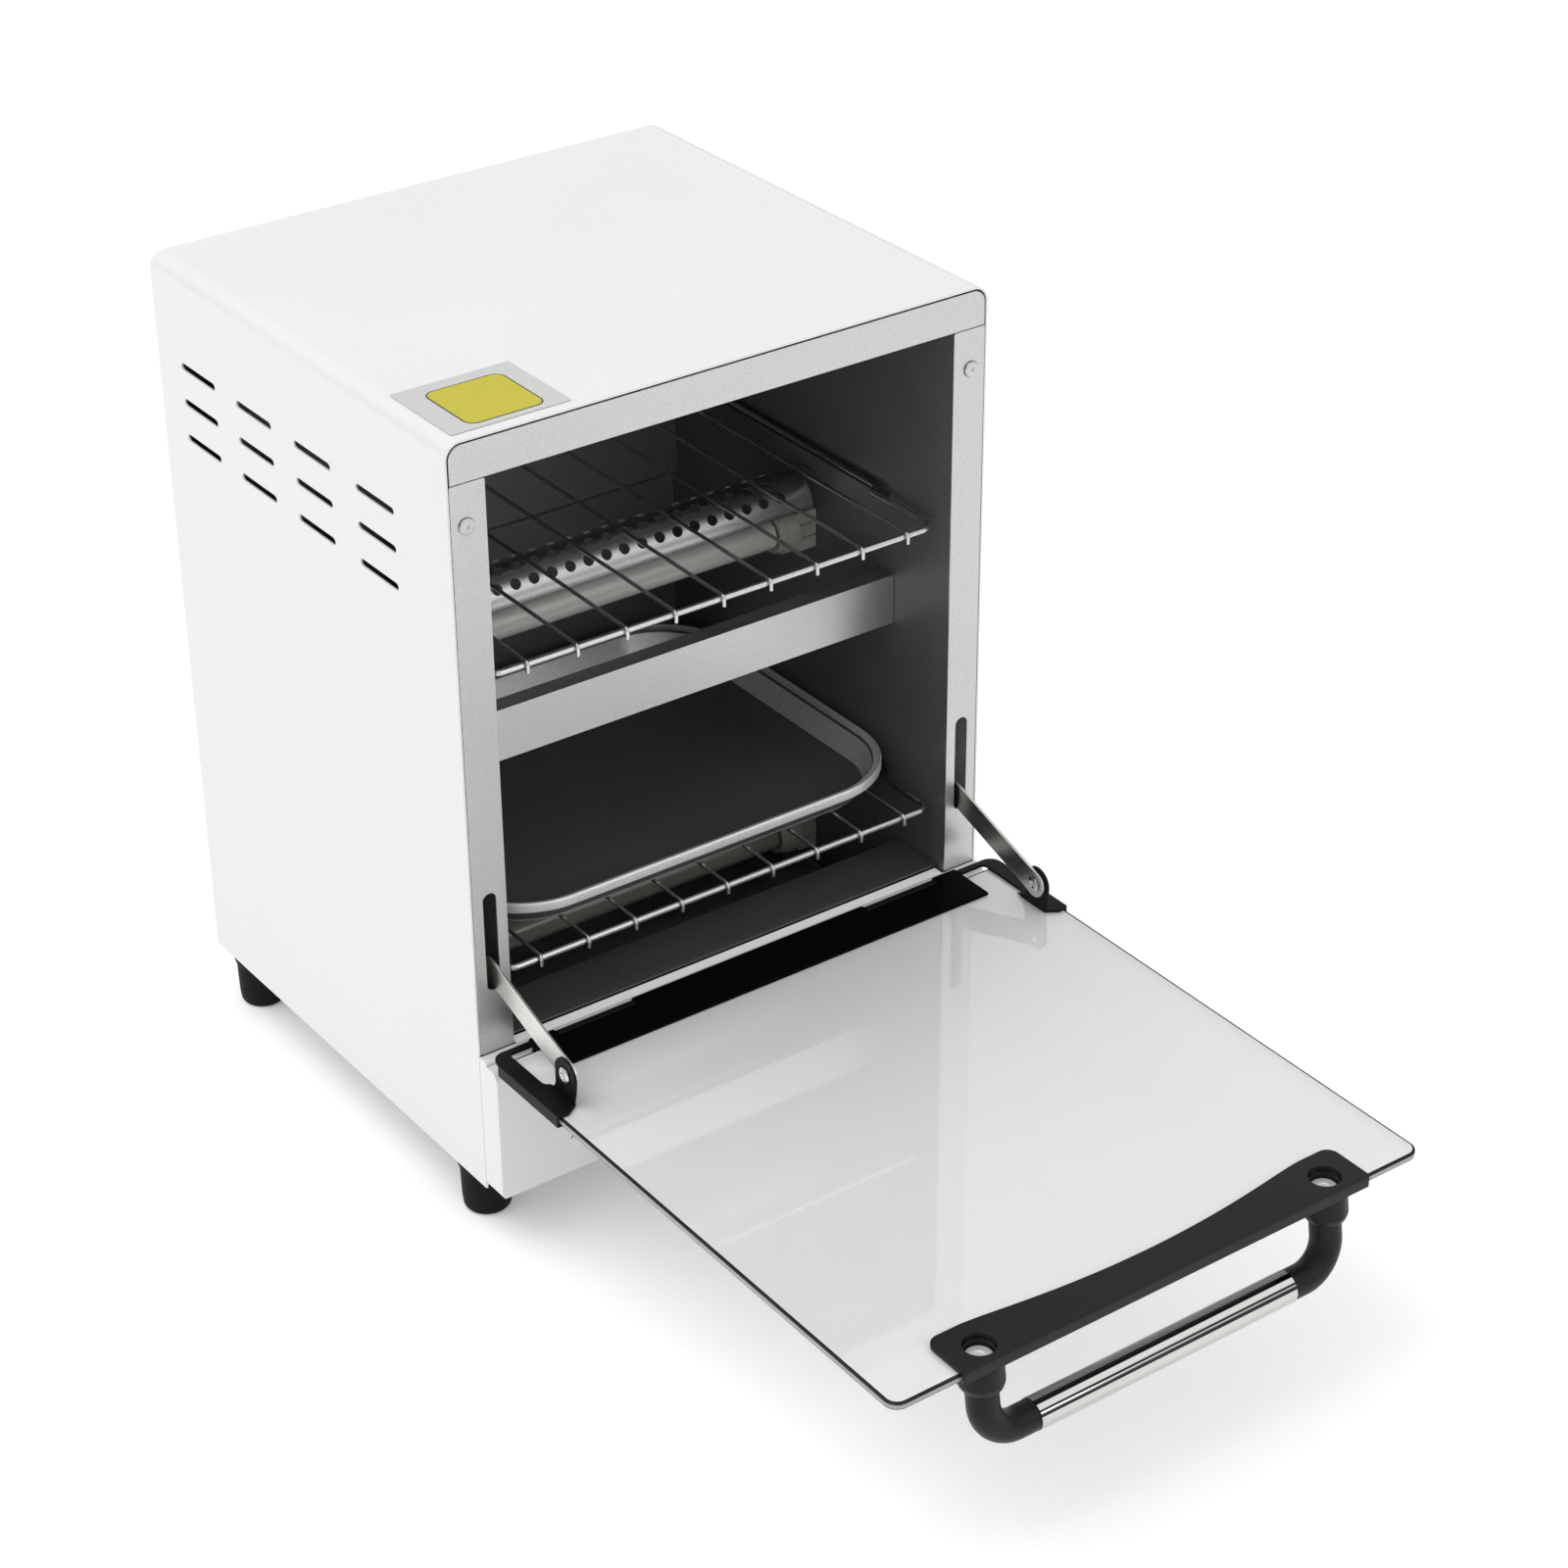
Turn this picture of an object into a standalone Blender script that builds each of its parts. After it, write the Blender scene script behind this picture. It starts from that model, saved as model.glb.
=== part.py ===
"""Two-tier upright toaster oven, with its glass door folded down.

Everything is in metres, +Z up. The design is drawn in the casing's own frame:
X is measured from the middle, Y runs back from the plane of the front pillars,
and Z is the height above the table. An empty, oven_frame, carries that frame.
"""
import math

import bmesh
import bpy
from mathutils import Matrix, Vector

# ---- casing ---------------------------------------------------------------
WIDTH = 0.240
DEPTH = 0.218
FOOT_HEIGHT = 0.0235
TOP_Z = 0.3405
SHEET = 0.0008           # thickness of the painted and galvanised sheet
GAP = 0.0003             # between pieces that touch
EDGE_R = 0.0060          # rounding of the casing's two top edges
HALF = WIDTH / 2
FRAME_Y = 0.0215         # sets the middle of the whole footprint at the origin

# ---- front frame ----------------------------------------------------------
HEADER_Z = 0.3243        # lower edge of the header
PILLAR_IN = 0.1042       # inner edge of a pillar
PILLAR_Z = 0.0854        # lower end of a pillar
SLOT_X = 0.1116          # centre of the slot that a door stay runs in
SLOT_W = 0.0058
SLOT_Z = (0.1128, 0.1554)
SCREW_AT = (0.1125, 0.3075)

# ---- cavity ---------------------------------------------------------------
WALL_X = 0.1045          # inner face of a cavity wall
WALL_REAR = 0.1935
CEILING_Z = 0.3250
SILL_Z = 0.0866          # top of the floor just behind the door
SILL_REAR = 0.0300
FLOOR_Z = 0.0460         # sunken floor under the lower heater
BACK_Y = 0.1893
BACK_STEP_Z = 0.1950     # the back is pressed out below this height
BAR_Y = 0.0358
BAR_Z = (0.1857, 0.2073)

# ---- racks ----------------------------------------------------------------
RACK_Z = (0.2410, 0.1135)
RACK_FRONT = 0.0072
RACK_REAR = 0.1845
RACK_NOSE_X = 0.1011     # half width of the narrow front
RACK_X = 0.1056          # half width of the part that rides in the grooves
RAIL_R = 0.0013
WIRE_R = 0.0008
WIRE_PITCH = 0.0218
WIRES = 9
GROOVE_FRONT = 0.0380
GROOVE_DEPTH = 0.0032

# ---- heaters --------------------------------------------------------------
HEATER_Y = 0.0950
HEATER_Z = {"upper": 0.3060, "middle": 0.2078, "lower": 0.0640}
QUARTZ_R = 0.0066
GUARD_R = 0.0125
GUARD_Z = 0.2205
HOLE_PITCH = 0.00844

# ---- control panel --------------------------------------------------------
PANEL_Y = -0.0123        # front face
PANEL_WALL = 0.0016
LEDGE_Z = 0.0852
KNOB_X = 0.0700
KNOB_Z = 0.0515
KNOB_R = 0.0165

# ---- door -----------------------------------------------------------------
HINGE = (-0.0102, 0.0888)            # hinge axis, Y and Z
GLASS_HALF = 0.1205
GLASS_Z = (0.0873, 0.0903)
GLASS_Y = (-0.2591, -0.0151)
GLASS_R = 0.0055
STRIP_X = 0.1022
STRIP_Y = -0.0313
KNUCKLE_R = 0.0030
LUG_X = (0.0555, 0.0917)
PIN = (-0.0497, 0.1020)              # where a stay is riveted to its bracket
STAY_X = (0.1103, 0.1115)
STAY_TILT = math.radians(18.9)
STAY_W = 0.0105
FLANGE_X = (0.1118, 0.1128)

# ---- handle ---------------------------------------------------------------
HANDLE_X = 0.0790
HANDLE_Y = -0.2520       # where a post meets the glass
HANDLE_LEAN = 0.155      # the posts run forward this much for each unit of drop
HANDLE_Z = 0.0552
HANDLE_BEND = 0.0130
POST_R = 0.0060
GRIP_R = 0.0063
GRIP_WALL = 0.0005
GRIP_X = 0.0593          # where the bright tube leaves its elbow
PLATE_X = 0.0928
PLATE_TOP = 0.0925

# name: (colour, roughness, metallic)
FINISHES = {
    "white_enamel": ((0.86, 0.86, 0.85), 0.38, 0.0),
    "galvanised": ((0.62, 0.63, 0.62), 0.38, 1.0),
    "dark_liner": ((0.035, 0.041, 0.040), 0.45, 0.0),
    "bright_wire": ((0.74, 0.74, 0.73), 0.22, 1.0),
    "stay_steel": ((0.60, 0.60, 0.58), 0.35, 1.0),
    "tray_enamel": ((0.030, 0.035, 0.034), 0.40, 0.0),
    "quartz": ((0.62, 0.62, 0.60), 0.30, 0.0),
    "ceramic": ((0.52, 0.51, 0.47), 0.60, 0.0),
    "black_metal": ((0.020, 0.020, 0.021), 0.40, 0.0),
    "black_plastic": ((0.026, 0.026, 0.027), 0.48, 0.0),
    "chrome_tube": ((0.78, 0.78, 0.78), 0.08, 1.0),
    "door_glass": ((0.80, 0.82, 0.82), 0.05, 0.0),
    "foot_rubber": ((0.022, 0.022, 0.022), 0.70, 0.0),
    "label_film": ((0.69, 0.69, 0.68), 0.45, 0.0),
    "unit_plastic": ((0.30, 0.30, 0.28), 0.50, 0.0),
    "knob_plastic": ((0.76, 0.76, 0.75), 0.40, 0.0),
}

AXES = {"XY": (0, 1, 2), "XZ": (0, 2, 1), "YZ": (1, 2, 0)}
FRAMES = {}


# ---- scene and objects ----------------------------------------------------
def clear_scene():
    for item in list(bpy.data.objects):
        bpy.data.objects.remove(item, do_unlink=True)


def collection(name):
    found = bpy.data.collections.get(name)
    if found is None:
        found = bpy.data.collections.new(name)
        bpy.context.scene.collection.children.link(found)
    return found


def finish(name):
    found = bpy.data.materials.get(name)
    if found is None:
        found = bpy.data.materials.new(name)
        found.use_nodes = True
        colour, roughness, metallic = FINISHES[name]
        shader = found.node_tree.nodes["Principled BSDF"]
        shader.inputs["Base Color"].default_value = (*colour, 1.0)
        shader.inputs["Roughness"].default_value = roughness
        shader.inputs["Metallic"].default_value = metallic
    return found


def add_frame(name, at, parent=None):
    """An empty on a joint's axis, or at the casing's own zero."""
    empty = bpy.data.objects.new(name, None)
    collection("toaster_oven").objects.link(empty)
    base = Vector((0, 0, 0))
    if parent:
        base = FRAMES[parent][1]
        empty.parent = FRAMES[parent][0]
    empty.location = Vector(at) - base
    FRAMES[name] = (empty, Vector(at) if parent else base)
    return empty


def add_part(name, mesh, look, frame="oven_frame", origin=None):
    """Links a mesh drawn in the casing's frame, with its origin at the given point."""
    empty, base = FRAMES[frame]
    start = Vector(origin) if origin else base
    mesh.transform(Matrix.Translation(-start))
    mesh.name = name
    mesh.materials.append(finish(look))
    mesh.shade_smooth()
    mesh.set_sharp_from_angle(angle=math.radians(32))
    part = bpy.data.objects.new(name, mesh)
    collection("toaster_oven").objects.link(part)
    part.parent = empty
    part.location = start - base
    return part


def add_tool(name, mesh):
    """A hidden solid that cuts or joins a part."""
    tool = bpy.data.objects.new(name, mesh)
    collection("cutters").objects.link(tool)
    tool.parent = FRAMES["oven_frame"][0]
    tool.hide_render = True
    tool.display_type = "WIRE"
    return tool


def combine(part, mesh, operation):
    count = len(part.modifiers)
    tool = add_tool(f"{part.name}_{operation.lower()}_{count}", mesh)
    modifier = part.modifiers.new(f"{operation.lower()}_{count}", "BOOLEAN")
    modifier.operation = operation
    modifier.solver = "EXACT"
    modifier.object = tool


def cut(part, *meshes):
    for mesh in meshes:
        combine(part, mesh, "DIFFERENCE")


def join(part, *meshes):
    for mesh in meshes:
        combine(part, mesh, "UNION")


# ---- meshes ---------------------------------------------------------------
def tidy(mesh, merge=1e-6):
    """Welds loose caps and turns every face outwards."""
    work = bmesh.new()
    work.from_mesh(mesh)
    bmesh.ops.remove_doubles(work, verts=work.verts, dist=merge)
    bmesh.ops.recalc_face_normals(work, faces=work.faces)
    work.to_mesh(mesh)
    work.free()
    return mesh


def baked(source):
    """The evaluated mesh of a temporary object, which is then removed."""
    bpy.context.scene.collection.objects.link(source)
    graph = bpy.context.evaluated_depsgraph_get()
    mesh = bpy.data.meshes.new_from_object(source.evaluated_get(graph))
    bpy.data.objects.remove(source, do_unlink=True)
    return tidy(mesh)


def box(low, high, bevel=0.0, segments=2):
    work = bmesh.new()
    bmesh.ops.create_cube(work, size=1.0)
    size = Vector(high) - Vector(low)
    middle = (Vector(high) + Vector(low)) / 2
    bmesh.ops.scale(work, vec=size, verts=work.verts)
    bmesh.ops.translate(work, vec=middle, verts=work.verts)
    if bevel:
        bmesh.ops.bevel(work, geom=work.edges[:], offset=bevel, segments=segments,
                        affect="EDGES", profile=0.5)
    mesh = bpy.data.meshes.new("box")
    work.to_mesh(mesh)
    work.free()
    return mesh


def arc(centre, radius, start, end, steps):
    """Points on an arc, from one angle to another, in degrees."""
    turn = [math.radians(start + (end - start) * i / steps) for i in range(steps + 1)]
    return [(centre[0] + radius * math.cos(a), centre[1] + radius * math.sin(a))
            for a in turn]


def circle(centre, radius, steps=20):
    return arc(centre, radius, 0, 360, steps)[:-1]


def rounded(low, high, radii, steps=4):
    """A rectangle with four corner radii: lower right, upper right, upper left, lower left."""
    (x0, y0), (x1, y1) = low, high
    corners = ((x1, y0, -90, -1, 1), (x1, y1, 0, -1, -1), (x0, y1, 90, 1, -1), (x0, y0, 180, 1, 1))
    points = []
    for (x, y, angle, sx, sy), radius in zip(corners, radii, strict=True):
        if radius:
            centre = (x + sx * radius, y + sy * radius)
            points += arc(centre, radius, angle, angle + 90, steps)
        else:
            points.append((x, y))
    return points


def prism(loops, plane, start, end):
    """Outlines, the first one with any holes after it, extruded across their plane."""
    data = bpy.data.curves.new("outline", "CURVE")
    data.dimensions = "2D"
    data.fill_mode = "BOTH"
    data.extrude = (end - start) / 2
    for loop in loops:
        spline = data.splines.new("POLY")
        spline.points.add(len(loop) - 1)
        for point, (u, v) in zip(spline.points, loop, strict=True):
            point.co = (u, v, 0, 1)
        spline.use_cyclic_u = True
    mesh = baked(bpy.data.objects.new("outline", data))
    order = AXES[plane]
    for vertex in mesh.vertices:
        local = (vertex.co.x, vertex.co.y, vertex.co.z + (start + end) / 2)
        place = [0.0, 0.0, 0.0]
        for value, axis in zip(local, order, strict=True):
            place[axis] = value
        vertex.co = place
    return tidy(mesh)


def turned(profile, centre, along, steps=24, closed=False):
    """A profile of radius and height, top to bottom, turned about an axis through centre."""
    data = bpy.data.meshes.new("profile")
    count = len(profile)
    edges = [(i, i + 1) for i in range(count - 1)]
    if closed:
        edges.append((count - 1, 0))
    data.from_pydata([(radius, 0, height) for radius, height in profile], edges, [])
    source = bpy.data.objects.new("profile", data)
    screw = source.modifiers.new("turn", "SCREW")
    screw.steps = steps
    screw.render_steps = steps
    screw.use_merge_vertices = True
    screw.merge_threshold = 0.00001
    mesh = baked(source)
    spin = {"Z": Matrix.Identity(4), "X": Matrix.Rotation(math.radians(90), 4, "Y"),
            "Y": Matrix.Rotation(math.radians(-90), 4, "X")}[along]
    mesh.transform(Matrix.Translation(centre) @ spin)
    return mesh


def rod(centre, along, start, end, radius, steps=20):
    """A plain round bar along X, Y or Z between two coordinates."""
    plane = {"X": "YZ", "Y": "XZ", "Z": "XY"}[along]
    return prism([circle(centre, radius, steps)], plane, start, end)


def wire(points, radius, cyclic=False, resolution=2):
    data = bpy.data.curves.new("wire", "CURVE")
    data.dimensions = "3D"
    data.bevel_depth = radius
    data.bevel_resolution = resolution
    data.use_fill_caps = not cyclic
    spline = data.splines.new("POLY")
    spline.points.add(len(points) - 1)
    for point, place in zip(spline.points, points, strict=True):
        point.co = (*place, 1)
    spline.use_cyclic_u = cyclic
    return baked(bpy.data.objects.new("wire", data))


def merged(meshes):
    """Separate solids in one mesh, to cut many holes with one tool."""
    work = bmesh.new()
    for mesh in meshes:
        work.from_mesh(mesh)
    joined = bpy.data.meshes.new("merged")
    work.to_mesh(joined)
    work.free()
    return joined


# ---- casing and feet ------------------------------------------------------
def slot_loop(centre, length, width, steps=4):
    """A slot lying along the first axis, with round ends."""
    u, v = centre
    reach = length / 2 - width / 2
    return (arc((u + reach, v), width / 2, -90, 90, steps)
            + arc((u - reach, v), width / 2, 90, 270, steps))


def outer_casing():
    inner = HALF - SHEET
    outside = arc((HALF - EDGE_R, TOP_Z - EDGE_R), EDGE_R, 0, 90, 6)
    outside += arc((EDGE_R - HALF, TOP_Z - EDGE_R), EDGE_R, 90, 180, 6)
    inside = arc((EDGE_R - HALF, TOP_Z - EDGE_R), EDGE_R - SHEET, 180, 90, 6)
    inside += arc((HALF - EDGE_R, TOP_Z - EDGE_R), EDGE_R - SHEET, 90, 0, 6)
    shape = [(HALF, FOOT_HEIGHT)] + outside + [(-HALF, FOOT_HEIGHT), (-inner, FOOT_HEIGHT)]
    shape += inside + [(inner, FOOT_HEIGHT)]
    part = add_part("outer_casing", prism([shape], "XZ", 0.0, DEPTH), "white_enamel")
    slots = []
    for column in (0.0515, 0.0970, 0.1412, 0.1850):
        for row in (0.2695, 0.2847, 0.2999):
            loop = slot_loop((column, row + 0.0001), 0.0270, 0.0031, 2)
            slots.append(prism([loop], "YZ", -HALF - 0.004, -HALF + 0.004))
            slots.append(prism([loop], "YZ", HALF - 0.004, HALF + 0.004))
    cut(part, merged(slots))


def base_pan():
    x = HALF - SHEET - GAP
    low = FOOT_HEIGHT + 0.0005
    shape = [(-x, low), (x, low), (x, low + 0.008), (x - SHEET, low + 0.008),
             (x - SHEET, low + SHEET), (SHEET - x, low + SHEET), (SHEET - x, low + 0.008),
             (-x, low + 0.008)]
    part = add_part("base_pan", prism([shape], "XZ", 0.0010, 0.2155), "galvanised")
    vents = [prism([slot_loop((x0, y0), 0.032, 0.004, 2)], "XY", low - 0.002, low + 0.002)
             for x0 in (-0.045, 0.0, 0.045) for y0 in (0.060, 0.075, 0.150, 0.165)]
    cut(part, merged(vents))


def back_panel():
    x = HALF - SHEET - GAP
    outline = rounded((-x, FOOT_HEIGHT + 0.0005), (x, TOP_Z - SHEET - GAP),
                      (0, EDGE_R - SHEET, EDGE_R - SHEET, 0), 5)
    holes = [rounded((-0.1000, 0.0445), (0.1000, 0.0545), (0.002,) * 4, 2),
             circle((0.0850, 0.0345), 0.0062, 16)]
    for row in (0.100, 0.110, 0.120, 0.290, 0.300):
        holes += [slot_loop((x0, row), 0.040, 0.003, 2) for x0 in (-0.060, 0.0, 0.060)]
    add_part("back_panel", prism([outline] + holes, "XZ", 0.2165, 0.2173), "galvanised")


def feet():
    profile = [(0, 0.0234), (0.0108, 0.0234), (0.0112, 0.0226), (0.0110, 0.0208),
               (0.0102, 0.0190), (0.0096, 0.0015), (0.0082, 0.0), (0, 0.0)]
    for row, y in (("front", 0.0195), ("rear", 0.2015)):
        for side, x in (("left", -0.1085), ("right", 0.1085)):
            mesh = turned(profile, (x, y, 0.0), "Z", 16)
            add_part(f"foot_{row}_{side}", mesh, "foot_rubber")


def cord_gland():
    profile = [(0.0040, 0.0030), (0.0074, 0.0030), (0.0080, 0.0020), (0.0080, 0.0003),
               (0.0058, 0.0003), (0.0058, -0.0011), (0.0078, -0.0011), (0.0078, -0.0030),
               (0.0040, -0.0030)]
    mesh = turned(profile, (0.0850, 0.2173, 0.0345), "Y", 16, closed=True)
    add_part("cord_gland", mesh, "black_plastic")


def terminal_block():
    part = add_part("terminal_block", box((0.030, 0.120, 0.0251), (0.066, 0.138, 0.0370), 0.0010),
                    "ceramic")
    wells = [rod((x, 0.129), "Z", 0.0320, 0.0390, 0.0028, 12) for x in (0.039, 0.048, 0.057)]
    cut(part, merged(wells))


def top_label():
    low = TOP_Z + GAP
    outline = rounded((-0.1138, 0.0050), (-0.0640, 0.0468), (0.0010,) * 4, 2)
    add_part("top_label", prism([outline], "XY", low, low + 0.0003), "label_film")


# ---- front frame ----------------------------------------------------------
def front_header():
    x = HALF - SHEET - GAP
    outline = rounded((-x, HEADER_Z), (x, TOP_Z - SHEET - GAP),
                      (0, EDGE_R - SHEET, EDGE_R - SHEET, 0), 6)
    part = add_part("front_header", prism([outline], "XZ", 0.0, SHEET), "galvanised")
    lip = box((-PILLAR_IN + 0.001, 0.0004, HEADER_Z), (PILLAR_IN - 0.001, 0.0100, HEADER_Z + 0.0006))
    join(part, lip)


def pillar(side, sign):
    edge = sorted((sign * PILLAR_IN, sign * (HALF - SHEET - GAP)))
    outline = rounded((edge[0], PILLAR_Z), (edge[1], HEADER_Z - GAP), (0.0008,) * 4, 2)
    middle = (SLOT_Z[0] + SLOT_Z[1]) / 2
    slot = [(sign * SLOT_X + v, middle + u)
            for u, v in slot_loop((0, 0), SLOT_Z[1] - SLOT_Z[0], SLOT_W, 6)]
    hole = circle((sign * SCREW_AT[0], SCREW_AT[1]), 0.0019, 12)
    add_part(f"pillar_{side}", prism([outline, slot, hole], "XZ", 0.0, SHEET), "galvanised")
    head = [(0, 0.0021), (0.0010, 0.0021), (0.0026, 0.0016), (0.0033, 0.0007), (0.0033, 0.0003),
            (0.0015, 0.0003), (0.0015, -0.0060), (0, -0.0060)]
    screw = turned(head, (0, 0, 0), "Z", 16)
    screw.transform(Matrix.Translation((sign * SCREW_AT[0], 0, SCREW_AT[1]))
                    @ Matrix.Rotation(math.radians(90), 4, "X"))
    add_part(f"pillar_screw_{side}", screw, "bright_wire")


# ---- cavity ---------------------------------------------------------------
def cavity_wall(side, sign):
    def span(inner, outer):
        return sorted((sign * inner, sign * outer))

    def slab(inner, outer, y0, y1, z0, z1):
        x0, x1 = span(inner, outer)
        return box((x0, y0, z0), (x1, y1, z1))

    outer = WALL_X + SHEET
    part = add_part(f"cavity_wall_{side}",
                    slab(WALL_X, outer, 0.0011, WALL_REAR, FLOOR_Z, CEILING_Z - GAP), "dark_liner")
    for z in RACK_Z:
        low = z - RAIL_R - GAP
        high = low + 0.0074
        reach = WALL_X + GROOVE_DEPTH
        join(part, slab(WALL_X + 0.0003, reach + SHEET, GROOVE_FRONT, WALL_REAR - 0.003,
                        low - SHEET, high + SHEET))
        cut(part, slab(WALL_X - 0.002, reach, GROOVE_FRONT + SHEET, WALL_REAR - 0.003 - SHEET,
                       low, high))
    x0, x1 = span(WALL_X - 0.002, outer + 0.002)
    cut(part, merged([rod((HEATER_Y, z), "X", x0, x1, 0.0049, 12) for z in HEATER_Z.values()]))


def cavity_ceiling():
    x = WALL_X - GAP
    add_part("cavity_ceiling", box((-x, 0.0104, CEILING_Z), (x, BACK_Y - GAP, CEILING_Z + SHEET)),
             "dark_liner")


def cavity_back():
    step = BACK_STEP_Z
    rear = BACK_Y + 0.0032
    shape = [(BACK_Y, CEILING_Z + SHEET), (BACK_Y, step), (rear, step - 0.0032), (rear, 0.0560),
             (rear + SHEET, 0.0560), (rear + SHEET, step - 0.0029),
             (BACK_Y + SHEET, step + 0.0003), (BACK_Y + SHEET, CEILING_Z + SHEET)]
    x = WALL_X - GAP
    add_part("cavity_back", prism([shape], "YZ", -x, x), "dark_liner")


def cavity_floor():
    rear = WALL_REAR - 0.0010
    shape = [(0.0050, SILL_Z - SHEET), (0.0050, SILL_Z), (SILL_REAR, SILL_Z),
             (SILL_REAR, FLOOR_Z + SHEET), (rear, FLOOR_Z + SHEET), (rear, FLOOR_Z),
             (SILL_REAR - SHEET, FLOOR_Z), (SILL_REAR - SHEET, SILL_Z - SHEET)]
    x = WALL_X - GAP
    add_part("cavity_floor", prism([shape], "YZ", -x, x), "dark_liner")


def crossbar():
    z0, z1 = BAR_Z
    shape = [(BAR_Y, z0), (BAR_Y, z1), (BAR_Y + 0.0080, z1), (BAR_Y + 0.0080, z1 - SHEET),
             (BAR_Y + SHEET, z1 - SHEET), (BAR_Y + SHEET, z0 + SHEET),
             (BAR_Y + 0.0040, z0 + SHEET), (BAR_Y + 0.0040, z0)]
    x = WALL_X - GAP
    add_part("crossbar", prism([shape], "YZ", -x, x), "galvanised")


def crumb_tray():
    low = FLOOR_Z + SHEET + GAP
    x = 0.0975
    top = low + 0.0050
    thick = 0.0006
    shape = [(-x, low), (x, low), (x, top), (x - thick, top), (x - thick, low + thick),
             (thick - x, low + thick), (thick - x, top), (-x, top)]
    part = add_part("crumb_tray", prism([shape], "XZ", 0.0305, 0.2180), "galvanised",
                    origin=(0, 0.2180, low))
    join(part, box((-0.1040, 0.2177, 0.0425), (0.1040, 0.2190, 0.0565), 0.0004, 1),
         box((0.0002 - x, 0.0305, low + 0.0002), (x - 0.0002, 0.0311, top - 0.0002)))


# ---- racks and tray -------------------------------------------------------
def rack_outline(z):
    """Half of the rail's path is drawn, then mirrored to the other side."""
    corner = 0.0050
    half = arc((RACK_NOSE_X - corner, RACK_FRONT + corner), corner, -90, 0, 5)
    half += [(RACK_NOSE_X, 0.0455), (RACK_NOSE_X + 0.0010, 0.0470), (RACK_X - 0.0010, 0.0490),
             (RACK_X, 0.0505)]
    half += arc((RACK_X - corner, RACK_REAR - corner), corner, 0, 90, 5)
    path = half + [(-x, y) for x, y in reversed(half)]
    return [(x, y, z) for x, y in path]


def rack(name, z):
    part = add_part(name, wire(rack_outline(z), RAIL_R, cyclic=True), "bright_wire",
                    origin=(0, RACK_FRONT, z))
    lift = 0.0019
    dip = -0.0016
    wires = []
    for i in range(WIRES):
        x = (i - (WIRES - 1) / 2) * WIRE_PITCH
        route = [(x, RACK_REAR + 0.0012, z + lift), (x, RACK_FRONT + 0.0080, z + lift),
                 (x, RACK_FRONT + 0.0058, z + lift * 0.4), (x, RACK_FRONT + 0.0034, z + dip),
                 (x, RACK_FRONT - 0.0028, z + dip)]
        wires.append(wire(route, WIRE_R))
    join(part, merged(wires))


def tray_ring(half_x, front, rear, radius, z, steps=8):
    loop = rounded((-half_x, front), (half_x, rear), (radius,) * 4, steps)
    return [Vector((x, y, z)) for x, y in loop]


def baking_tray():
    """A pressed shell: its floor, sloping wall and turned rim are rings, then thickened."""
    floor = RACK_Z[1] + 0.0019 + WIRE_R + GAP
    rim = floor + 0.0128
    rings = [tray_ring(0.0922, 0.0255, 0.1759, 0.0270, floor),
             tray_ring(0.0942, 0.0233, 0.1781, 0.0290, floor + 0.0008),
             tray_ring(0.0985, 0.0182, 0.1832, 0.0335, rim - 0.0008),
             tray_ring(0.0992, 0.0175, 0.1839, 0.0342, rim),
             tray_ring(0.1005, 0.0162, 0.1852, 0.0355, rim),
             tray_ring(0.1010, 0.0157, 0.1857, 0.0360, rim - 0.0036)]
    work = bmesh.new()
    loops = [[work.verts.new(point) for point in ring] for ring in rings]
    work.faces.new(loops[0])
    for inner, outer in zip(loops, loops[1:]):
        count = len(inner)
        for i in range(count):
            j = (i + 1) % count
            work.faces.new((inner[i], inner[j], outer[j], outer[i]))
    bmesh.ops.recalc_face_normals(work, faces=work.faces)
    mesh = bpy.data.meshes.new("tray")
    work.to_mesh(mesh)
    work.free()
    part = add_part("baking_tray", mesh, "tray_enamel", origin=(0, 0.1, floor))
    shell = part.modifiers.new("sheet", "SOLIDIFY")
    shell.thickness = 0.0006
    shell.offset = 1.0 if mesh.polygons[0].normal.z > 0 else -1.0


# ---- heaters --------------------------------------------------------------
def heater(tier, z):
    reach = 0.0847
    tube = prism([circle((HEATER_Y, z), QUARTZ_R, 24), circle((HEATER_Y, z), QUARTZ_R - 0.0011, 24)],
                 "YZ", -reach, reach)
    add_part(f"heater_tube_{tier}", tube, "quartz")
    for side, sign in (("left", -1), ("right", 1)):
        def span(inner, outer):
            return sorted((sign * inner, sign * outer))

        x0, x1 = span(reach + GAP, 0.0950)
        part = add_part(f"heater_end_{tier}_{side}", rod((HEATER_Y, z), "X", x0, x1, 0.0100, 16),
                        "ceramic")
        x0, x1 = span(0.0945, WALL_X - GAP)
        join(part, box((x0, HEATER_Y - 0.0070, z - 0.0085), (x1, HEATER_Y + 0.0070, z + 0.0085),
                       0.0006, 1))
        x0, x1 = span(0.1030, 0.1098)
        join(part, rod((HEATER_Y, z), "X", x0, x1, 0.0045, 12))


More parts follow.
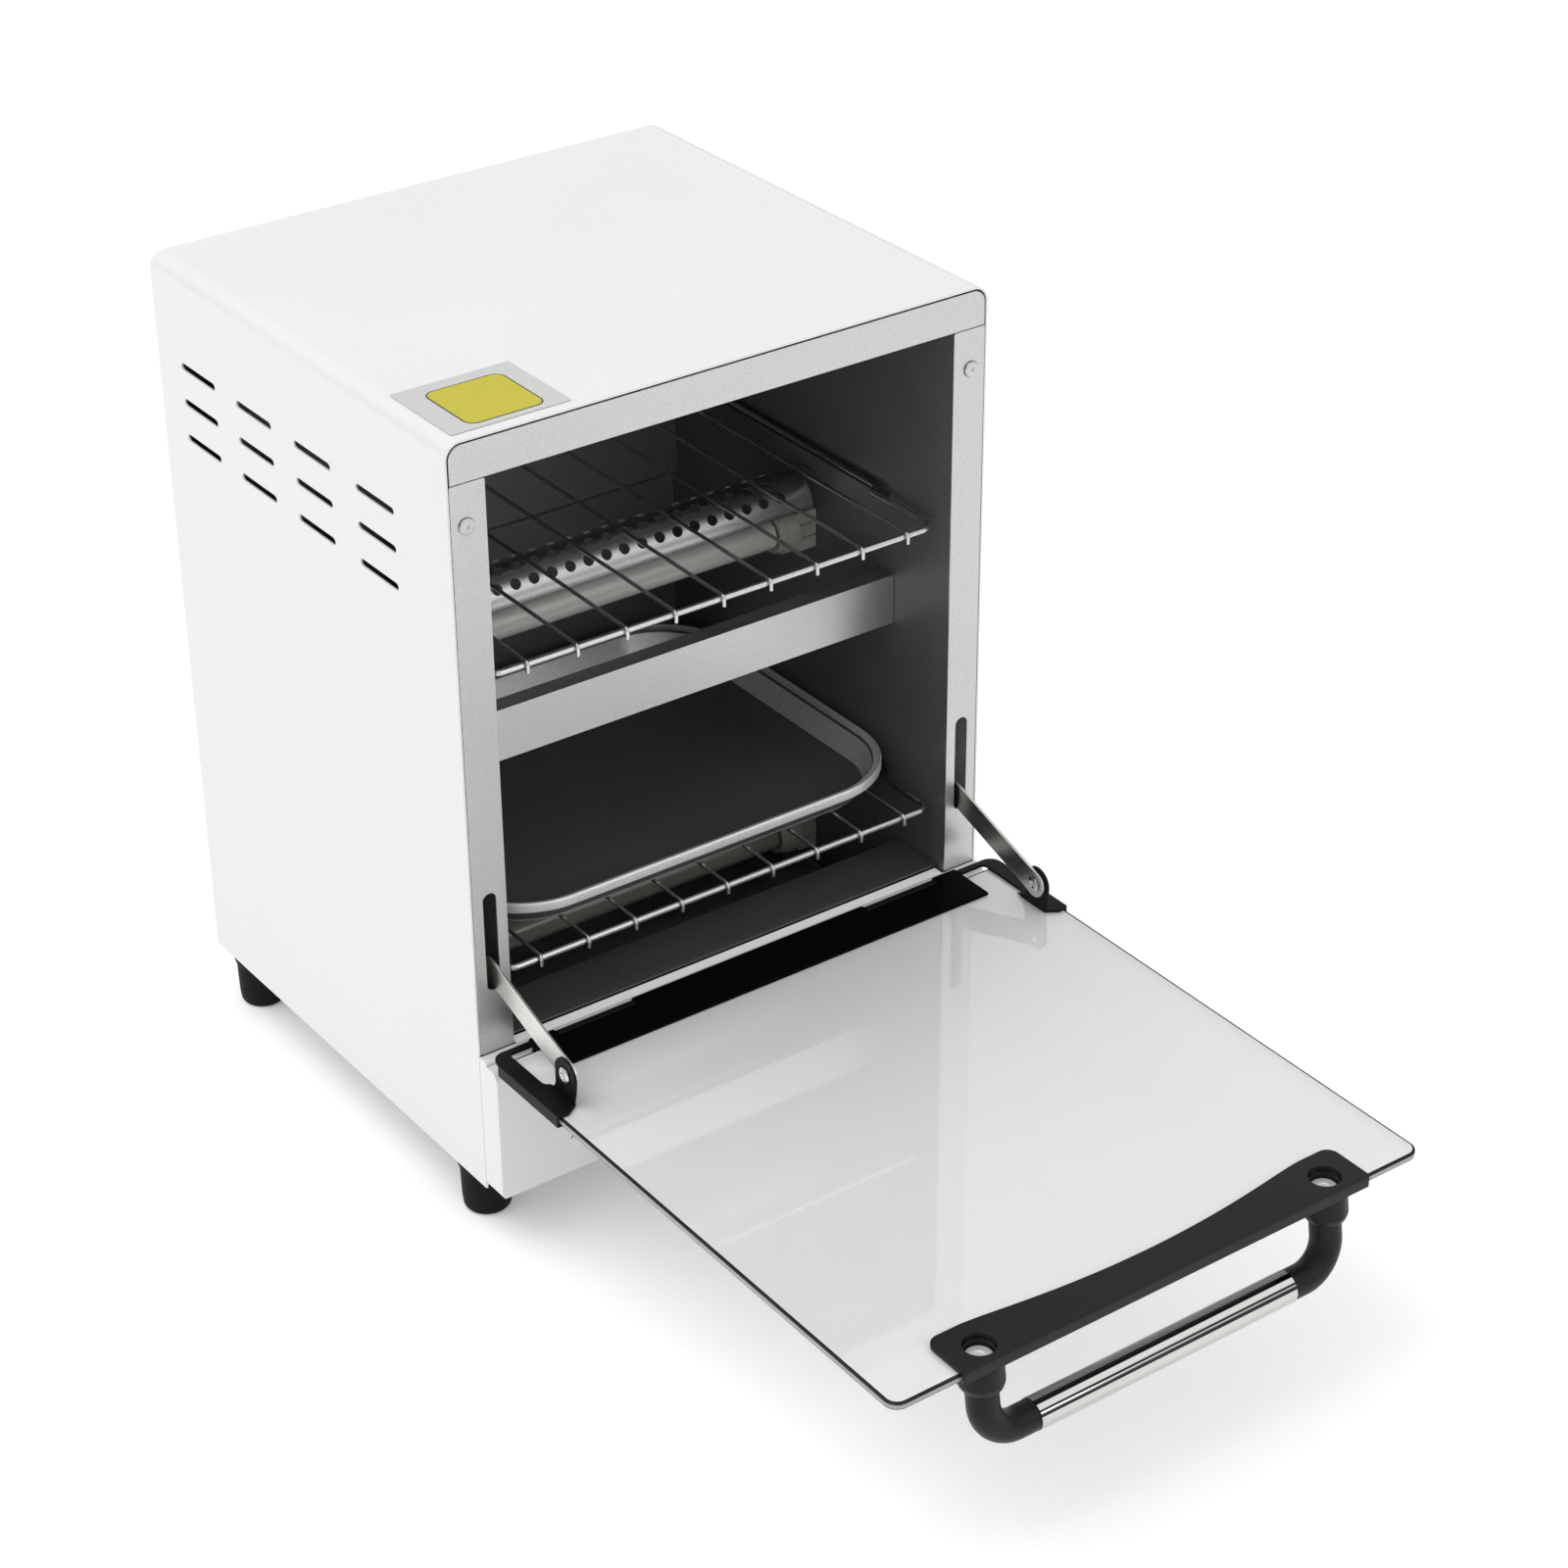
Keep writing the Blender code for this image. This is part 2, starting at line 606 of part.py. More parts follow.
def heater_guard():
    """A perforated arch over the middle heater, held to the walls by two tongues."""
    outside = arc((HEATER_Y, GUARD_Z), GUARD_R, 0, 180, 12)
    inside = arc((HEATER_Y, GUARD_Z), GUARD_R - 0.0006, 180, 0, 12)
    part = add_part("heater_guard", prism([outside + inside], "YZ", -WALL_X + GAP, WALL_X - GAP),
                    "galvanised")
    top = GUARD_Z + GUARD_R * math.sin(math.radians(62))
    for sign in (-1, 1):
        x0, x1 = sorted((sign * 0.0985, sign * 0.1100))
        cut(part, box((x0, 0.0800, GUARD_Z - 0.003), (x1, 0.1100, top)))
    holes = []
    for angle, shift, count in ((143, 0.0, 22), (109, 0.5, 21)):
        turn = math.radians(angle)
        for i in range(count):
            x = 0.0841 - (i + shift) * HOLE_PITCH
            peg = rod((0, 0), "Z", GUARD_R - 0.0035, GUARD_R + 0.0025, 0.0023, 6)
            peg.transform(Matrix.Translation((x, HEATER_Y, GUARD_Z))
                          @ Matrix.Rotation(turn - math.radians(90), 4, "X"))
            holes.append(peg)
    cut(part, merged(holes))


# ---- control panel --------------------------------------------------------
def control_panel():
    ease = 0.0040
    trough = 0.0834
    low = FOOT_HEIGHT + 0.0002
    back = -GAP
    shape = arc((PANEL_Y + ease, trough - ease), ease, 180, 90, 5)
    shape += [(-0.0052, trough), (-0.0052, LEDGE_Z - 0.0006), (-0.0046, LEDGE_Z), (back, LEDGE_Z),
              (back, low), (PANEL_Y + 0.0020, low), (PANEL_Y, low + 0.0020)]
    solid = prism([shape], "YZ", -HALF, HALF)
    work = bmesh.new()
    work.from_mesh(solid)
    rim = [edge for edge in work.edges
           if all(abs(abs(v.co.x) - HALF) < 1e-5 for v in edge.verts)
           and edge.verts[0].co.x * edge.verts[1].co.x > 0
           and min(v.co.y for v in edge.verts) < -0.009
           and len(edge.link_faces) == 2
           and edge.calc_face_angle(0) > 0.5]
    bmesh.ops.bevel(work, geom=rim, offset=0.0022, segments=3, affect="EDGES", profile=0.5,
                    clamp_overlap=True)
    work.to_mesh(solid)
    work.free()
    part = add_part("control_panel", solid, "white_enamel")
    inner = HALF - PANEL_WALL
    cut(part, box((-inner, PANEL_Y + PANEL_WALL, low + PANEL_WALL),
                  (inner, 0.0020, trough - PANEL_WALL)))
    x = PILLAR_IN - 0.0010
    join(part, box((-x, -0.0020, LEDGE_Z - 0.0010), (x, 0.0047, LEDGE_Z - 0.00005)))
    cut(part, merged([rod((sx * KNOB_X, KNOB_Z), "Y", PANEL_Y - 0.002, PANEL_Y + 0.004, 0.0038, 16)
                      for sx in (-1, 1)]))
    turn = 0.0045
    for sx in (-1, 1):
        wedge = arc((HALF - turn, low + turn), turn, 0, -90, 6)
        wedge += [(HALF - turn, low - 0.001), (HALF + 0.001, low - 0.001), (HALF + 0.001, low + turn)]
        cut(part, prism([[(sx * u, v) for u, v in wedge]], "XZ", PANEL_Y - 0.001, 0.001))


def knob(name, x):
    """A round knob with a raised grip bar, bored for its shaft."""
    skirt = [(0, 0.0060), (0.0140, 0.0060), (0.0158, 0.0050), (KNOB_R, 0.0030), (KNOB_R, 0.0),
             (0, 0.0)]
    mesh = turned(skirt, (0, 0, 0), "Z", 28)
    mesh.transform(Matrix.Translation((x, PANEL_Y - 0.0010, KNOB_Z))
                   @ Matrix.Rotation(math.radians(90), 4, "X"))
    part = add_part(name, mesh, "knob_plastic", origin=(x, PANEL_Y, KNOB_Z))
    tip = PANEL_Y - 0.0010 - 0.0150
    bar = box((x - 0.0035, tip, KNOB_Z - 0.0145), (x + 0.0035, PANEL_Y - 0.0060, KNOB_Z + 0.0145),
              0.0015)
    join(part, bar)
    cut(part, rod((x, KNOB_Z), "Y", PANEL_Y - 0.0110, PANEL_Y + 0.001, 0.0031, 14))


def shaft(name, x, rear):
    add_part(name, rod((x, KNOB_Z), "Y", PANEL_Y - 0.0105, rear, 0.0028, 14), "bright_wire",
             origin=(x, PANEL_Y, KNOB_Z))


def timer_unit():
    x = -KNOB_X
    part = add_part("timer_unit", box((x - 0.0210, -0.0050, KNOB_Z - 0.0190),
                                      (x + 0.0210, 0.0250, KNOB_Z + 0.0190), 0.0012), "galvanised")
    join(part, rod((x, KNOB_Z), "Y", -0.0090, -0.0040, 0.0075, 20))
    cut(part, rod((x, KNOB_Z), "Y", -0.0120, 0.0085, 0.0032, 14))


def heat_switch():
    x = KNOB_X
    part = add_part("heat_switch", box((x - 0.0150, -0.0050, KNOB_Z - 0.0150),
                                       (x + 0.0150, 0.0180, KNOB_Z + 0.0150), 0.0012),
                    "unit_plastic")
    join(part, rod((x, KNOB_Z), "Y", -0.0090, -0.0040, 0.0065, 20))
    cut(part, rod((x, KNOB_Z), "Y", -0.0120, 0.0085, 0.0032, 14))


# ---- hinge and door -------------------------------------------------------
def hinge_rod():
    add_part("hinge_rod", rod(HINGE, "X", -0.1036, 0.1036, 0.0015, 14), "bright_wire")


def hinge_lug(side, sign):
    """A short barrel, on a foot that stands in the panel's trough, for the rod."""
    y, z = HINGE
    ring = 0.0022
    foot = 0.0837
    shape = arc((y, z), ring, -20, 205, 14)
    shape += [(y - 0.0012, foot + 0.0010), (y + 0.0004, foot), (y + 0.0040, foot),
              (y + 0.0040, foot + 0.0010), (y + 0.0021, foot + 0.0026)]
    x0, x1 = sorted((sign * LUG_X[0], sign * LUG_X[1]))
    mesh = prism([shape, circle((y, z), 0.0018, 14)], "YZ", x0, x1)
    add_part(f"hinge_lug_{side}", mesh, "black_metal")


def door_glass():
    left = (-GLASS_HALF, GLASS_Y[0])
    right = (GLASS_HALF, GLASS_Y[1])
    outline = rounded(left, right, (GLASS_R, 0.0010, 0.0010, GLASS_R), 6)
    holes = [circle((s * HANDLE_X, HANDLE_Y), 0.0063, 20) for s in (-1, 1)]
    add_part("door_glass", prism([outline] + holes, "XY", *GLASS_Z), "door_glass", "door_axis")


def door_strip():
    """A channel over the glass edge, rolled round the hinge rod."""
    y, z = HINGE
    top = z + KNUCKLE_R
    low = z - KNUCKLE_R
    web = GLASS_Y[1] + 0.0015
    under = GLASS_Z[0] - GAP
    shape = [(STRIP_Y, top), (y, top)]
    shape += arc((y, z), KNUCKLE_R, 80, -80, 12) + [(y, low), (STRIP_Y, low), (STRIP_Y, under)]
    shape += [(web - 0.0012, under), (web - 0.0012, GLASS_Z[1] + GAP), (STRIP_Y, GLASS_Z[1] + GAP)]
    mesh = prism([shape, circle((y, z), 0.0019, 14)], "YZ", -STRIP_X, STRIP_X)
    part = add_part("door_strip", mesh, "black_metal", "door_axis")
    for sign in (-1, 1):
        x0, x1 = sorted((sign * (LUG_X[0] - GAP), sign * (LUG_X[1] + GAP)))
        cut(part, box((x0, web + 0.0001, low - 0.003), (x1, y + 0.006, top + 0.003)))


def door_bracket(side, sign):
    """Wraps a lower corner of the glass and stands up to carry its stay."""
    low = GLASS_Z[1] + GAP
    top = low + 0.0012
    edge = GLASS_HALF + GAP

    def span(a, b):
        return sorted((sign * a, sign * b))

    strip = [(STRIP_X + 0.0004, -0.0103)]
    strip += arc((edge + 0.0006 - 0.0055, -0.0158), 0.0055, 90, 0, 4)
    strip += [(edge + 0.0006, -0.0574), (0.1170, -0.0582), (0.1118, -0.0548), (0.1118, -0.0400)]
    strip += arc((0.1110, -0.0356), 0.0035, -60, 0, 3)
    strip += [(0.1145, -0.0133), (STRIP_X + 0.0004, -0.0133)]
    loop = [(sign * x, y) for x, y in strip]
    part = add_part(f"door_bracket_{side}", prism([loop], "XY", low, top), "black_metal",
                    "door_axis")
    x0, x1 = span(edge, edge + 0.0009)
    join(part, box((x0, -0.0573, GLASS_Z[0] - GAP - 0.0006), (x1, -0.0165, top - 0.0003)))
    x0, x1 = span(0.1140, edge + 0.0007)
    join(part, box((x0, -0.0571, GLASS_Z[0] - GAP - 0.0010), (x1, -0.0380, GLASS_Z[0] - GAP)))
    y, z = PIN
    ear = arc((-0.0375, low + 0.0060), 0.0055, -91, -176, 5)
    ear += arc((y, z), 0.0070, 15, 190, 10)
    ear += [(-0.0562, 0.0972), (-0.0548, low + 0.0004)]
    x0, x1 = span(*FLANGE_X)
    join(part, prism([ear], "YZ", x0, x1))
    cut(part, rod(PIN, "X", x0 - 0.001, x1 + 0.001, 0.0017, 12))


def stay_outline():
    """A strap with a round nose at the rivet and a hook that stops it behind its slot."""
    half = STAY_W / 2
    shape = arc((0, 0), half + 0.0004, 80, 280, 10)
    shape += [(0.0060, -half), (0.0520, -half), (0.0520, -half - 0.0045)]
    shape += [(0.0590, -half - 0.0045), (0.0600, -half - 0.0035), (0.0600, half - 0.0030)]
    shape += arc((0.0570, half - 0.0030), 0.0030, 0, 90, 3)
    shape += [(0.0060, half)]
    turn = Matrix.Rotation(STAY_TILT, 2)
    points = [turn @ Vector(point) for point in shape]
    return [(PIN[0] + point.x, PIN[1] + point.y) for point in points]


def door_stay(side, sign):
    x0, x1 = sorted((sign * STAY_X[0], sign * STAY_X[1]))
    mesh = prism([stay_outline(), circle(PIN, 0.0017, 12)], "YZ", x0, x1)
    add_part(f"door_stay_{side}", mesh, "stay_steel", f"stay_pin_{side}")


def stay_rivet(side, sign):
    inner = STAY_X[0] - GAP
    outer = FLANGE_X[1] + GAP
    profile = [(0, outer + 0.0008), (0.0024, outer + 0.0007), (0.0033, outer),
               (0.0014, outer), (0.0014, inner), (0.0033, inner),
               (0.0024, inner - 0.0007), (0, inner - 0.0008)]
    mesh = turned(profile, (0, 0, 0), "X", 12)
    if sign < 0:
        mesh.transform(Matrix.Scale(-1, 4, (1, 0, 0)))
        tidy(mesh)
    mesh.transform(Matrix.Translation((0, PIN[0], PIN[1])))
    add_part(f"stay_rivet_{side}", mesh, "bright_wire", "door_axis")


# ---- handle ---------------------------------------------------------------
def plate_outline():
    """Wide ends that narrow to a waist; the front edge is straight."""
    front = GLASS_Y[0] - GAP - 0.0010
    waist = -0.2462
    swell = 0.0066
    corner = 0.0050
    reach = 0.0780
    half = [(PLATE_X, front)]
    half += arc((PLATE_X - corner, waist + swell - corner), corner, 0, 90, 5)
    for i in range(9, 0, -1):
        t = i / 9
        half.append((reach * t, waist + swell * t * t * (1.16 - 0.16 * t ** 8)))
    return half + [(0.0, waist)] + [(-x, y) for x, y in reversed(half)]


def handle_plate():
    low = GLASS_Z[1] + GAP
    front = GLASS_Y[0] - GAP
    holes = [circle((s * HANDLE_X, HANDLE_Y), 0.0061, 20) for s in (-1, 1)]
    part = add_part("handle_plate", prism([plate_outline()] + holes, "XY", low, PLATE_TOP),
                    "black_plastic", "door_axis")
    join(part, box((-PLATE_X - 0.0002, front - 0.0020, GLASS_Z[0]),
                   (PLATE_X + 0.0002, front, PLATE_TOP - 0.0004)))


def lean(z):
    """How far out a post has leaned at a height."""
    return HANDLE_Y + HANDLE_LEAN * min(0.0, z - (GLASS_Z[0] - GAP))


def handle_post(side, sign):
    """A collar under the glass, a leaning post and an elbow with a spigot for the tube."""
    low = GLASS_Z[0] - GAP
    bend = (HANDLE_X - HANDLE_BEND, HANDLE_Z + HANDLE_BEND)
    path = [(HANDLE_X, low - 0.0020), (HANDLE_X, (low + bend[1]) / 2)]
    path += arc(bend, HANDLE_BEND, 0, -90, 6) + [(GRIP_X, HANDLE_Z)]
    route = [(sign * x, lean(z), z) for x, z in path]
    part = add_part(f"handle_post_{side}", wire(route, POST_R, resolution=4), "black_plastic",
                    "door_axis")
    collar = [(0, GLASS_Z[1]), (0.0060, GLASS_Z[1]), (0.0060, low), (0.0087, low),
              (0.0087, low - 0.0080), (0.0080, low - 0.0100), (0.0063, low - 0.0114),
              (0, low - 0.0114)]
    mesh = turned(collar, (0, 0, 0), "Z", 24)
    for vert in mesh.vertices:
        vert.co.y += lean(vert.co.z)
        vert.co.x += sign * HANDLE_X
    join(part, mesh)
    spot = (sign * HANDLE_X, HANDLE_Y)
    cut(part, rod(spot, "Z", low - 0.0005, GLASS_Z[1] + 0.002, 0.0055, 20),
        rod(spot, "Z", 0.0745, low + 0.001, 0.0026, 14))
    x0, x1 = sorted((sign * (GRIP_X - 0.0080), sign * (GRIP_X + 0.0020)))
    join(part, rod((lean(HANDLE_Z), HANDLE_Z), "X", x0, x1, GRIP_R - GRIP_WALL - GAP, 20))


def handle_screw(side, sign):
    low = GLASS_Z[0] - 0.0005
    profile = [(0, low + 0.0012), (0.0046, low + 0.0012), (0.0052, low + 0.0007), (0.0052, low),
               (0.0022, low), (0.0022, 0.0755), (0, 0.0755)]
    mesh = turned(profile, (sign * HANDLE_X, HANDLE_Y, 0), "Z", 20)
    add_part(f"handle_screw_{side}", mesh, "bright_wire", "door_axis")


def handle_tube():
    reach = GRIP_X - GAP
    spot = (lean(HANDLE_Z), HANDLE_Z)
    mesh = prism([circle(spot, GRIP_R, 24), circle(spot, GRIP_R - GRIP_WALL, 24)], "YZ",
                 -reach, reach)
    add_part("handle_tube", mesh, "chrome_tube", "door_axis")


# ---- assembly -------------------------------------------------------------
def main():
    clear_scene()
    add_frame("oven_frame", (0, FRAME_Y, 0))
    add_frame("door_axis", (0, *HINGE), "oven_frame")
    sides = (("left", -1), ("right", 1))
    for side, sign in sides:
        add_frame(f"stay_pin_{side}", (sign * STAY_X[0], *PIN), "door_axis")
    outer_casing()
    base_pan()
    back_panel()
    feet()
    cord_gland()
    terminal_block()
    top_label()
    front_header()
    cavity_ceiling()
    cavity_back()
    cavity_floor()
    crossbar()
    crumb_tray()
    rack("upper_rack", RACK_Z[0])
    rack("lower_rack", RACK_Z[1])
    baking_tray()
    for tier, z in HEATER_Z.items():
        heater(tier, z)
    heater_guard()
    control_panel()
    knob("timer_knob", -KNOB_X)
    knob("heat_knob", KNOB_X)
    shaft("timer_shaft", -KNOB_X, 0.0075)
    shaft("heat_shaft", KNOB_X, 0.0075)
    timer_unit()
    heat_switch()
    hinge_rod()
    door_glass()
    door_strip()
    handle_plate()
    handle_tube()
    for side, sign in sides:
        pillar(side, sign)
        cavity_wall(side, sign)
        hinge_lug(side, sign)
        door_bracket(side, sign)
        door_stay(side, sign)
        stay_rivet(side, sign)
        handle_post(side, sign)
        handle_screw(side, sign)


main()
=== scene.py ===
"""Toaster oven: its fine surfaces, the studio and the camera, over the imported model."""
import math

import bmesh
import bpy
from mathutils import Matrix, Vector


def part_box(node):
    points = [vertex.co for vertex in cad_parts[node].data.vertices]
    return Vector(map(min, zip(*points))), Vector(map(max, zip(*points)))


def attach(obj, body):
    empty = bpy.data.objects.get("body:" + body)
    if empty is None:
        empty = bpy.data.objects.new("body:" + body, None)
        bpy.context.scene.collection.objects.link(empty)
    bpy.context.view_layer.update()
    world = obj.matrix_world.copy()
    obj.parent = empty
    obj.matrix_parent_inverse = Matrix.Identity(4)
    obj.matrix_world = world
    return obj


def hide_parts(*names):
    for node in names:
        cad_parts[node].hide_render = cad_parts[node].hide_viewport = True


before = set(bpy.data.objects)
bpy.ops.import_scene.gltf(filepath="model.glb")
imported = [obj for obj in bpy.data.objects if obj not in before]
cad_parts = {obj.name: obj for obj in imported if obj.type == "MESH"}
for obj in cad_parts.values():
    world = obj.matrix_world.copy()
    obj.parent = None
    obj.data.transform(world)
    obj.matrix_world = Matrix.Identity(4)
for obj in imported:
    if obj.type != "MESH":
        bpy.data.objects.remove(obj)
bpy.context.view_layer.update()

# Pieces are drawn from the casing's front plane, with X from the middle and Z
# from the table, and put() moves them into the row's frame.
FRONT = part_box("outer_casing")[0][1]
SIDES = (("left", -1), ("right", 1))
AXES = {"XY": (0, 1, 2), "XZ": (0, 2, 1), "YZ": (1, 2, 0)}
LOOKS = {}
MERGE = 1e-6        # Vertices closer than this become one.
SHEET = 0.0008      # Thickness of the folded casing sheets.
GAP = 0.0003        # Play between the door glass and what clamps it.
RAIL_R = 0.0013     # Radius of a rack's rail.
WIRE_R = 0.0008     # Radius of its cross wires.
WIRE_PITCH = 0.0218
WIRES = 9
WIRE_TIP = 0.0028   # How far a rack's CAD box reaches in front of the rail's centre,
RACK_DROP = 0.0024  # and how far below it.
RACK_SIDE = 0.1056
ARRIS = 0.0007      # Width of the ground edge of the glass.
GRIP_R = 0.0063
POST_R = 0.0060
PIN_R = 0.0017      # Radius of the hole round a stay's rivet.
STAY_LIE = 18.9     # Slope of the stays, in degrees, with the door open.
# Painted reflections on the chrome handle tube: its tone by angle in degrees, from the rear (0)
# over the underside (90) and the front (180) to the top (270); dark and bright stripes stand in for
# the studio it mirrors.
PAINTED_REFLECTION_BANDS = ((0, 0.5), (138, 0.68), (202, 0.68), (204, 0.10), (214, 0.10), (216, 0.80), (219, 0.80),
         (220.5, 0.03), (226, 0.03), (228, 1.0), (245, 1.0), (248, 0.02), (263, 0.02), (267, 0.26),
         (318, 0.30), (360, 0.5))


def cad(node):
    """A node's box, measured from the casing's front plane."""
    low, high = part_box(node)
    shift = Vector((0, FRONT, 0))
    return Vector(low) - shift, Vector(high) - shift


# ---- meshes ---------------------------------------------------------------
def tidy(mesh):
    """Merges doubled vertices and turns the faces outwards."""
    work = bmesh.new()
    work.from_mesh(mesh)
    bmesh.ops.remove_doubles(work, verts=work.verts, dist=MERGE)
    bmesh.ops.recalc_face_normals(work, faces=work.faces)
    work.to_mesh(mesh)
    work.free()
    return mesh


def baked(source):
    """The evaluated mesh of a temporary object, which is then removed."""
    bpy.context.scene.collection.objects.link(source)
    graph = bpy.context.evaluated_depsgraph_get()
    mesh = bpy.data.meshes.new_from_object(source.evaluated_get(graph))
    bpy.data.objects.remove(source, do_unlink=True)
    return tidy(mesh)


def arc(centre, radius, start, end, steps):
    turn = [math.radians(start + (end - start) * i / steps) for i in range(steps + 1)]
    return [(centre[0] + radius * math.cos(a), centre[1] + radius * math.sin(a)) for a in turn]


def circle(centre, radius, steps=32):
    return arc(centre, radius, 0, 360, steps)[:-1]


def span(sign, start, end):
    """Two distances from the middle, as limits in X on the left (-1) or the right (1)."""
    return sorted((sign * start, sign * end))


def rounded(low, high, radii, steps=8):
    """A rectangle whose corner radii go lower right, upper right, upper left, lower left."""
    (x0, y0), (x1, y1) = low, high
    corners = ((x1, y0, -90, -1, 1), (x1, y1, 0, -1, -1), (x0, y1, 90, 1, -1), (x0, y0, 180, 1, 1))
    points = []
    for (x, y, angle, sx, sy), radius in zip(corners, radii, strict=True):
        if radius:
            points += arc((x + sx * radius, y + sy * radius), radius, angle, angle + 90, steps)
        else:
            points.append((x, y))
    return points


def slot_loop(centre, length, width, steps=8):
    """A slot along the first axis, with round ends."""
    u, v = centre
    reach = length / 2 - width / 2
    return (arc((u + reach, v), width / 2, -90, 90, steps)
            + arc((u - reach, v), width / 2, 90, 270, steps))


def plate(loops, plane, start, end, ease=0.0):
    """An outline, with any holes after it, as a sheet with eased edges."""
    data = bpy.data.curves.new("outline", "CURVE")
    data.dimensions = "2D"
    data.fill_mode = "BOTH"
    data.extrude = (end - start) / 2 - ease
    data.bevel_depth = ease
    data.bevel_resolution = 2
    data.offset = -ease
    for loop in loops:
        spline = data.splines.new("POLY")
        spline.points.add(len(loop) - 1)
        for point, (u, v) in zip(spline.points, loop, strict=True):
            point.co = (u, v, 0, 1)
        spline.use_cyclic_u = True
    mesh = baked(bpy.data.objects.new("outline", data))
    order = AXES[plane]
    for vertex in mesh.vertices:
        local = (vertex.co.x, vertex.co.y, vertex.co.z + (start + end) / 2)
        place = [0.0, 0.0, 0.0]
        for value, axis in zip(local, order, strict=True):
            place[axis] = value
        vertex.co = place
    return tidy(mesh)


def rod(centre, along, start, end, radius, steps=32, ease=0.0):
    plane = {"X": "YZ", "Y": "XZ", "Z": "XY"}[along]
    return plate([circle(centre, radius, steps)], plane, start, end, ease)


def turned(profile, spot, along="Z", steps=48, closed=False):
    """A profile of radius and height, turned about an axis through a point."""
    data = bpy.data.meshes.new("profile")
    count = len(profile)
    edges = [(i, i + 1) for i in range(count - 1)]
    if closed:
        edges.append((count - 1, 0))
    data.from_pydata([(radius, 0, height) for radius, height in profile], edges, [])
    source = bpy.data.objects.new("profile", data)
    screw = source.modifiers.new("turn", "SCREW")
    screw.steps = steps
    screw.render_steps = steps
    screw.use_merge_vertices = True
    screw.merge_threshold = 0.00001
    mesh = baked(source)
    spin = {"Z": Matrix.Identity(4), "X": Matrix.Rotation(math.radians(90), 4, "Y"),
            "-X": Matrix.Rotation(math.radians(-90), 4, "Y"),
            "-Y": Matrix.Rotation(math.radians(90), 4, "X")}[along]
    mesh.transform(Matrix.Translation(spot) @ spin)
    return mesh


def soft_corner(points, radius, steps=5):
    """Rounds the corners of an open profile, by less where a side is short."""
    result = [points[0]]
    for before, here, after in zip(points, points[1:], points[2:]):
        a, b, c = Vector(before), Vector(here), Vector(after)
        cut = min(radius, (a - b).length * 0.45, (c - b).length * 0.45)
        start = b + (a - b).normalized() * cut
        end = b + (c - b).normalized() * cut
        for i in range(steps + 1):
            t = i / steps
            spot = start * (1 - t) ** 2 + b * 2 * t * (1 - t) + end * t ** 2
            result.append(tuple(spot))
    result.append(points[-1])
    return result


def wire(points, radius, cyclic=False, resolution=5):
    """A round wire along a path."""
    data = bpy.data.curves.new("wire", "CURVE")
    data.dimensions = "3D"
    data.bevel_depth = radius
    data.bevel_resolution = resolution
    data.use_fill_caps = not cyclic
    spline = data.splines.new("POLY")
    spline.points.add(len(points) - 1)
    for point, place in zip(spline.points, points, strict=True):
        point.co = (*place, 1)
    spline.use_cyclic_u = cyclic
    return baked(bpy.data.objects.new("wire", data))


def block(low, high, ease=0.0, segments=3):
    work = bmesh.new()
    bmesh.ops.create_cube(work, size=1.0)
    bmesh.ops.scale(work, vec=Vector(high) - Vector(low), verts=work.verts)
    bmesh.ops.translate(work, vec=(Vector(high) + Vector(low)) / 2, verts=work.verts)
    if ease:
        bmesh.ops.bevel(work, geom=work.edges[:], offset=ease, segments=segments,
                        affect="EDGES", profile=0.5)
    mesh = bpy.data.meshes.new("block")
    work.to_mesh(mesh)
    work.free()
    return mesh


def gather(*parts):
    """Joins meshes into one. A pair (mesh, index) puts that mesh in that material slot."""
    work = bmesh.new()
    for part in parts:
        mesh, index = part if isinstance(part, tuple) else (part, 0)
        start = len(work.faces)
        work.from_mesh(mesh)
        work.faces.ensure_lookup_table()
        for face in work.faces[start:]:
            face.material_index = index
    joined = bpy.data.meshes.new("joined")
    work.to_mesh(joined)
    work.free()
    return joined


def shaped(mesh, *cutters, bevel=0.0):
    """A mesh with the cutters taken out of it, and with its sharp edges eased."""
    source = bpy.data.objects.new("shaped", mesh)
    tools = []
    for cutter in cutters:
        tool = bpy.data.objects.new("tool", cutter)
        bpy.context.scene.collection.objects.link(tool)
        tools.append(tool)
        change = source.modifiers.new("boolean", "BOOLEAN")
        change.operation = "DIFFERENCE"
        change.solver = "EXACT"
        change.object = tool
    if bevel:
        ease = source.modifiers.new("ease", "BEVEL")
        ease.width = bevel
        ease.segments = 2
        ease.limit_method = "ANGLE"
        ease.angle_limit = math.radians(40)
    result = baked(source)
    for tool in tools:
        bpy.data.objects.remove(tool, do_unlink=True)
    return result


def put(name, mesh, looks, body, nodes=(), sharp=35):
    """Places a piece, hangs it on its body, and lets it stand for CAD nodes."""
    mesh.transform(Matrix.Translation((0, FRONT, 0)))
    mesh.name = name
    for look in looks:
        mesh.materials.append(LOOKS[look])
    mesh.shade_smooth()
    mesh.set_sharp_from_angle(angle=math.radians(sharp))
    piece = bpy.data.objects.new(name, mesh)
    bpy.context.scene.collection.objects.link(piece)
    even = piece.modifiers.new("normals", "WEIGHTED_NORMAL")
    even.keep_sharp = True
    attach(piece, body)
    if nodes:
        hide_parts(*nodes)
    return piece


# ---- materials ------------------------------------------------------------
def wired(tree, kind, settings=None, **inputs):
    """Adds a shader node, with each input linked to a socket or set to a value."""
    made = tree.nodes.new(kind)
    for key, value in (settings or {}).items():
        setattr(made, key, value)
    for key, value in inputs.items():
        socket = made.inputs[key.replace("_", " ")]
        if isinstance(value, bpy.types.NodeSocket):
            tree.links.new(value, socket)
        else:
            socket.default_value = value
    return made


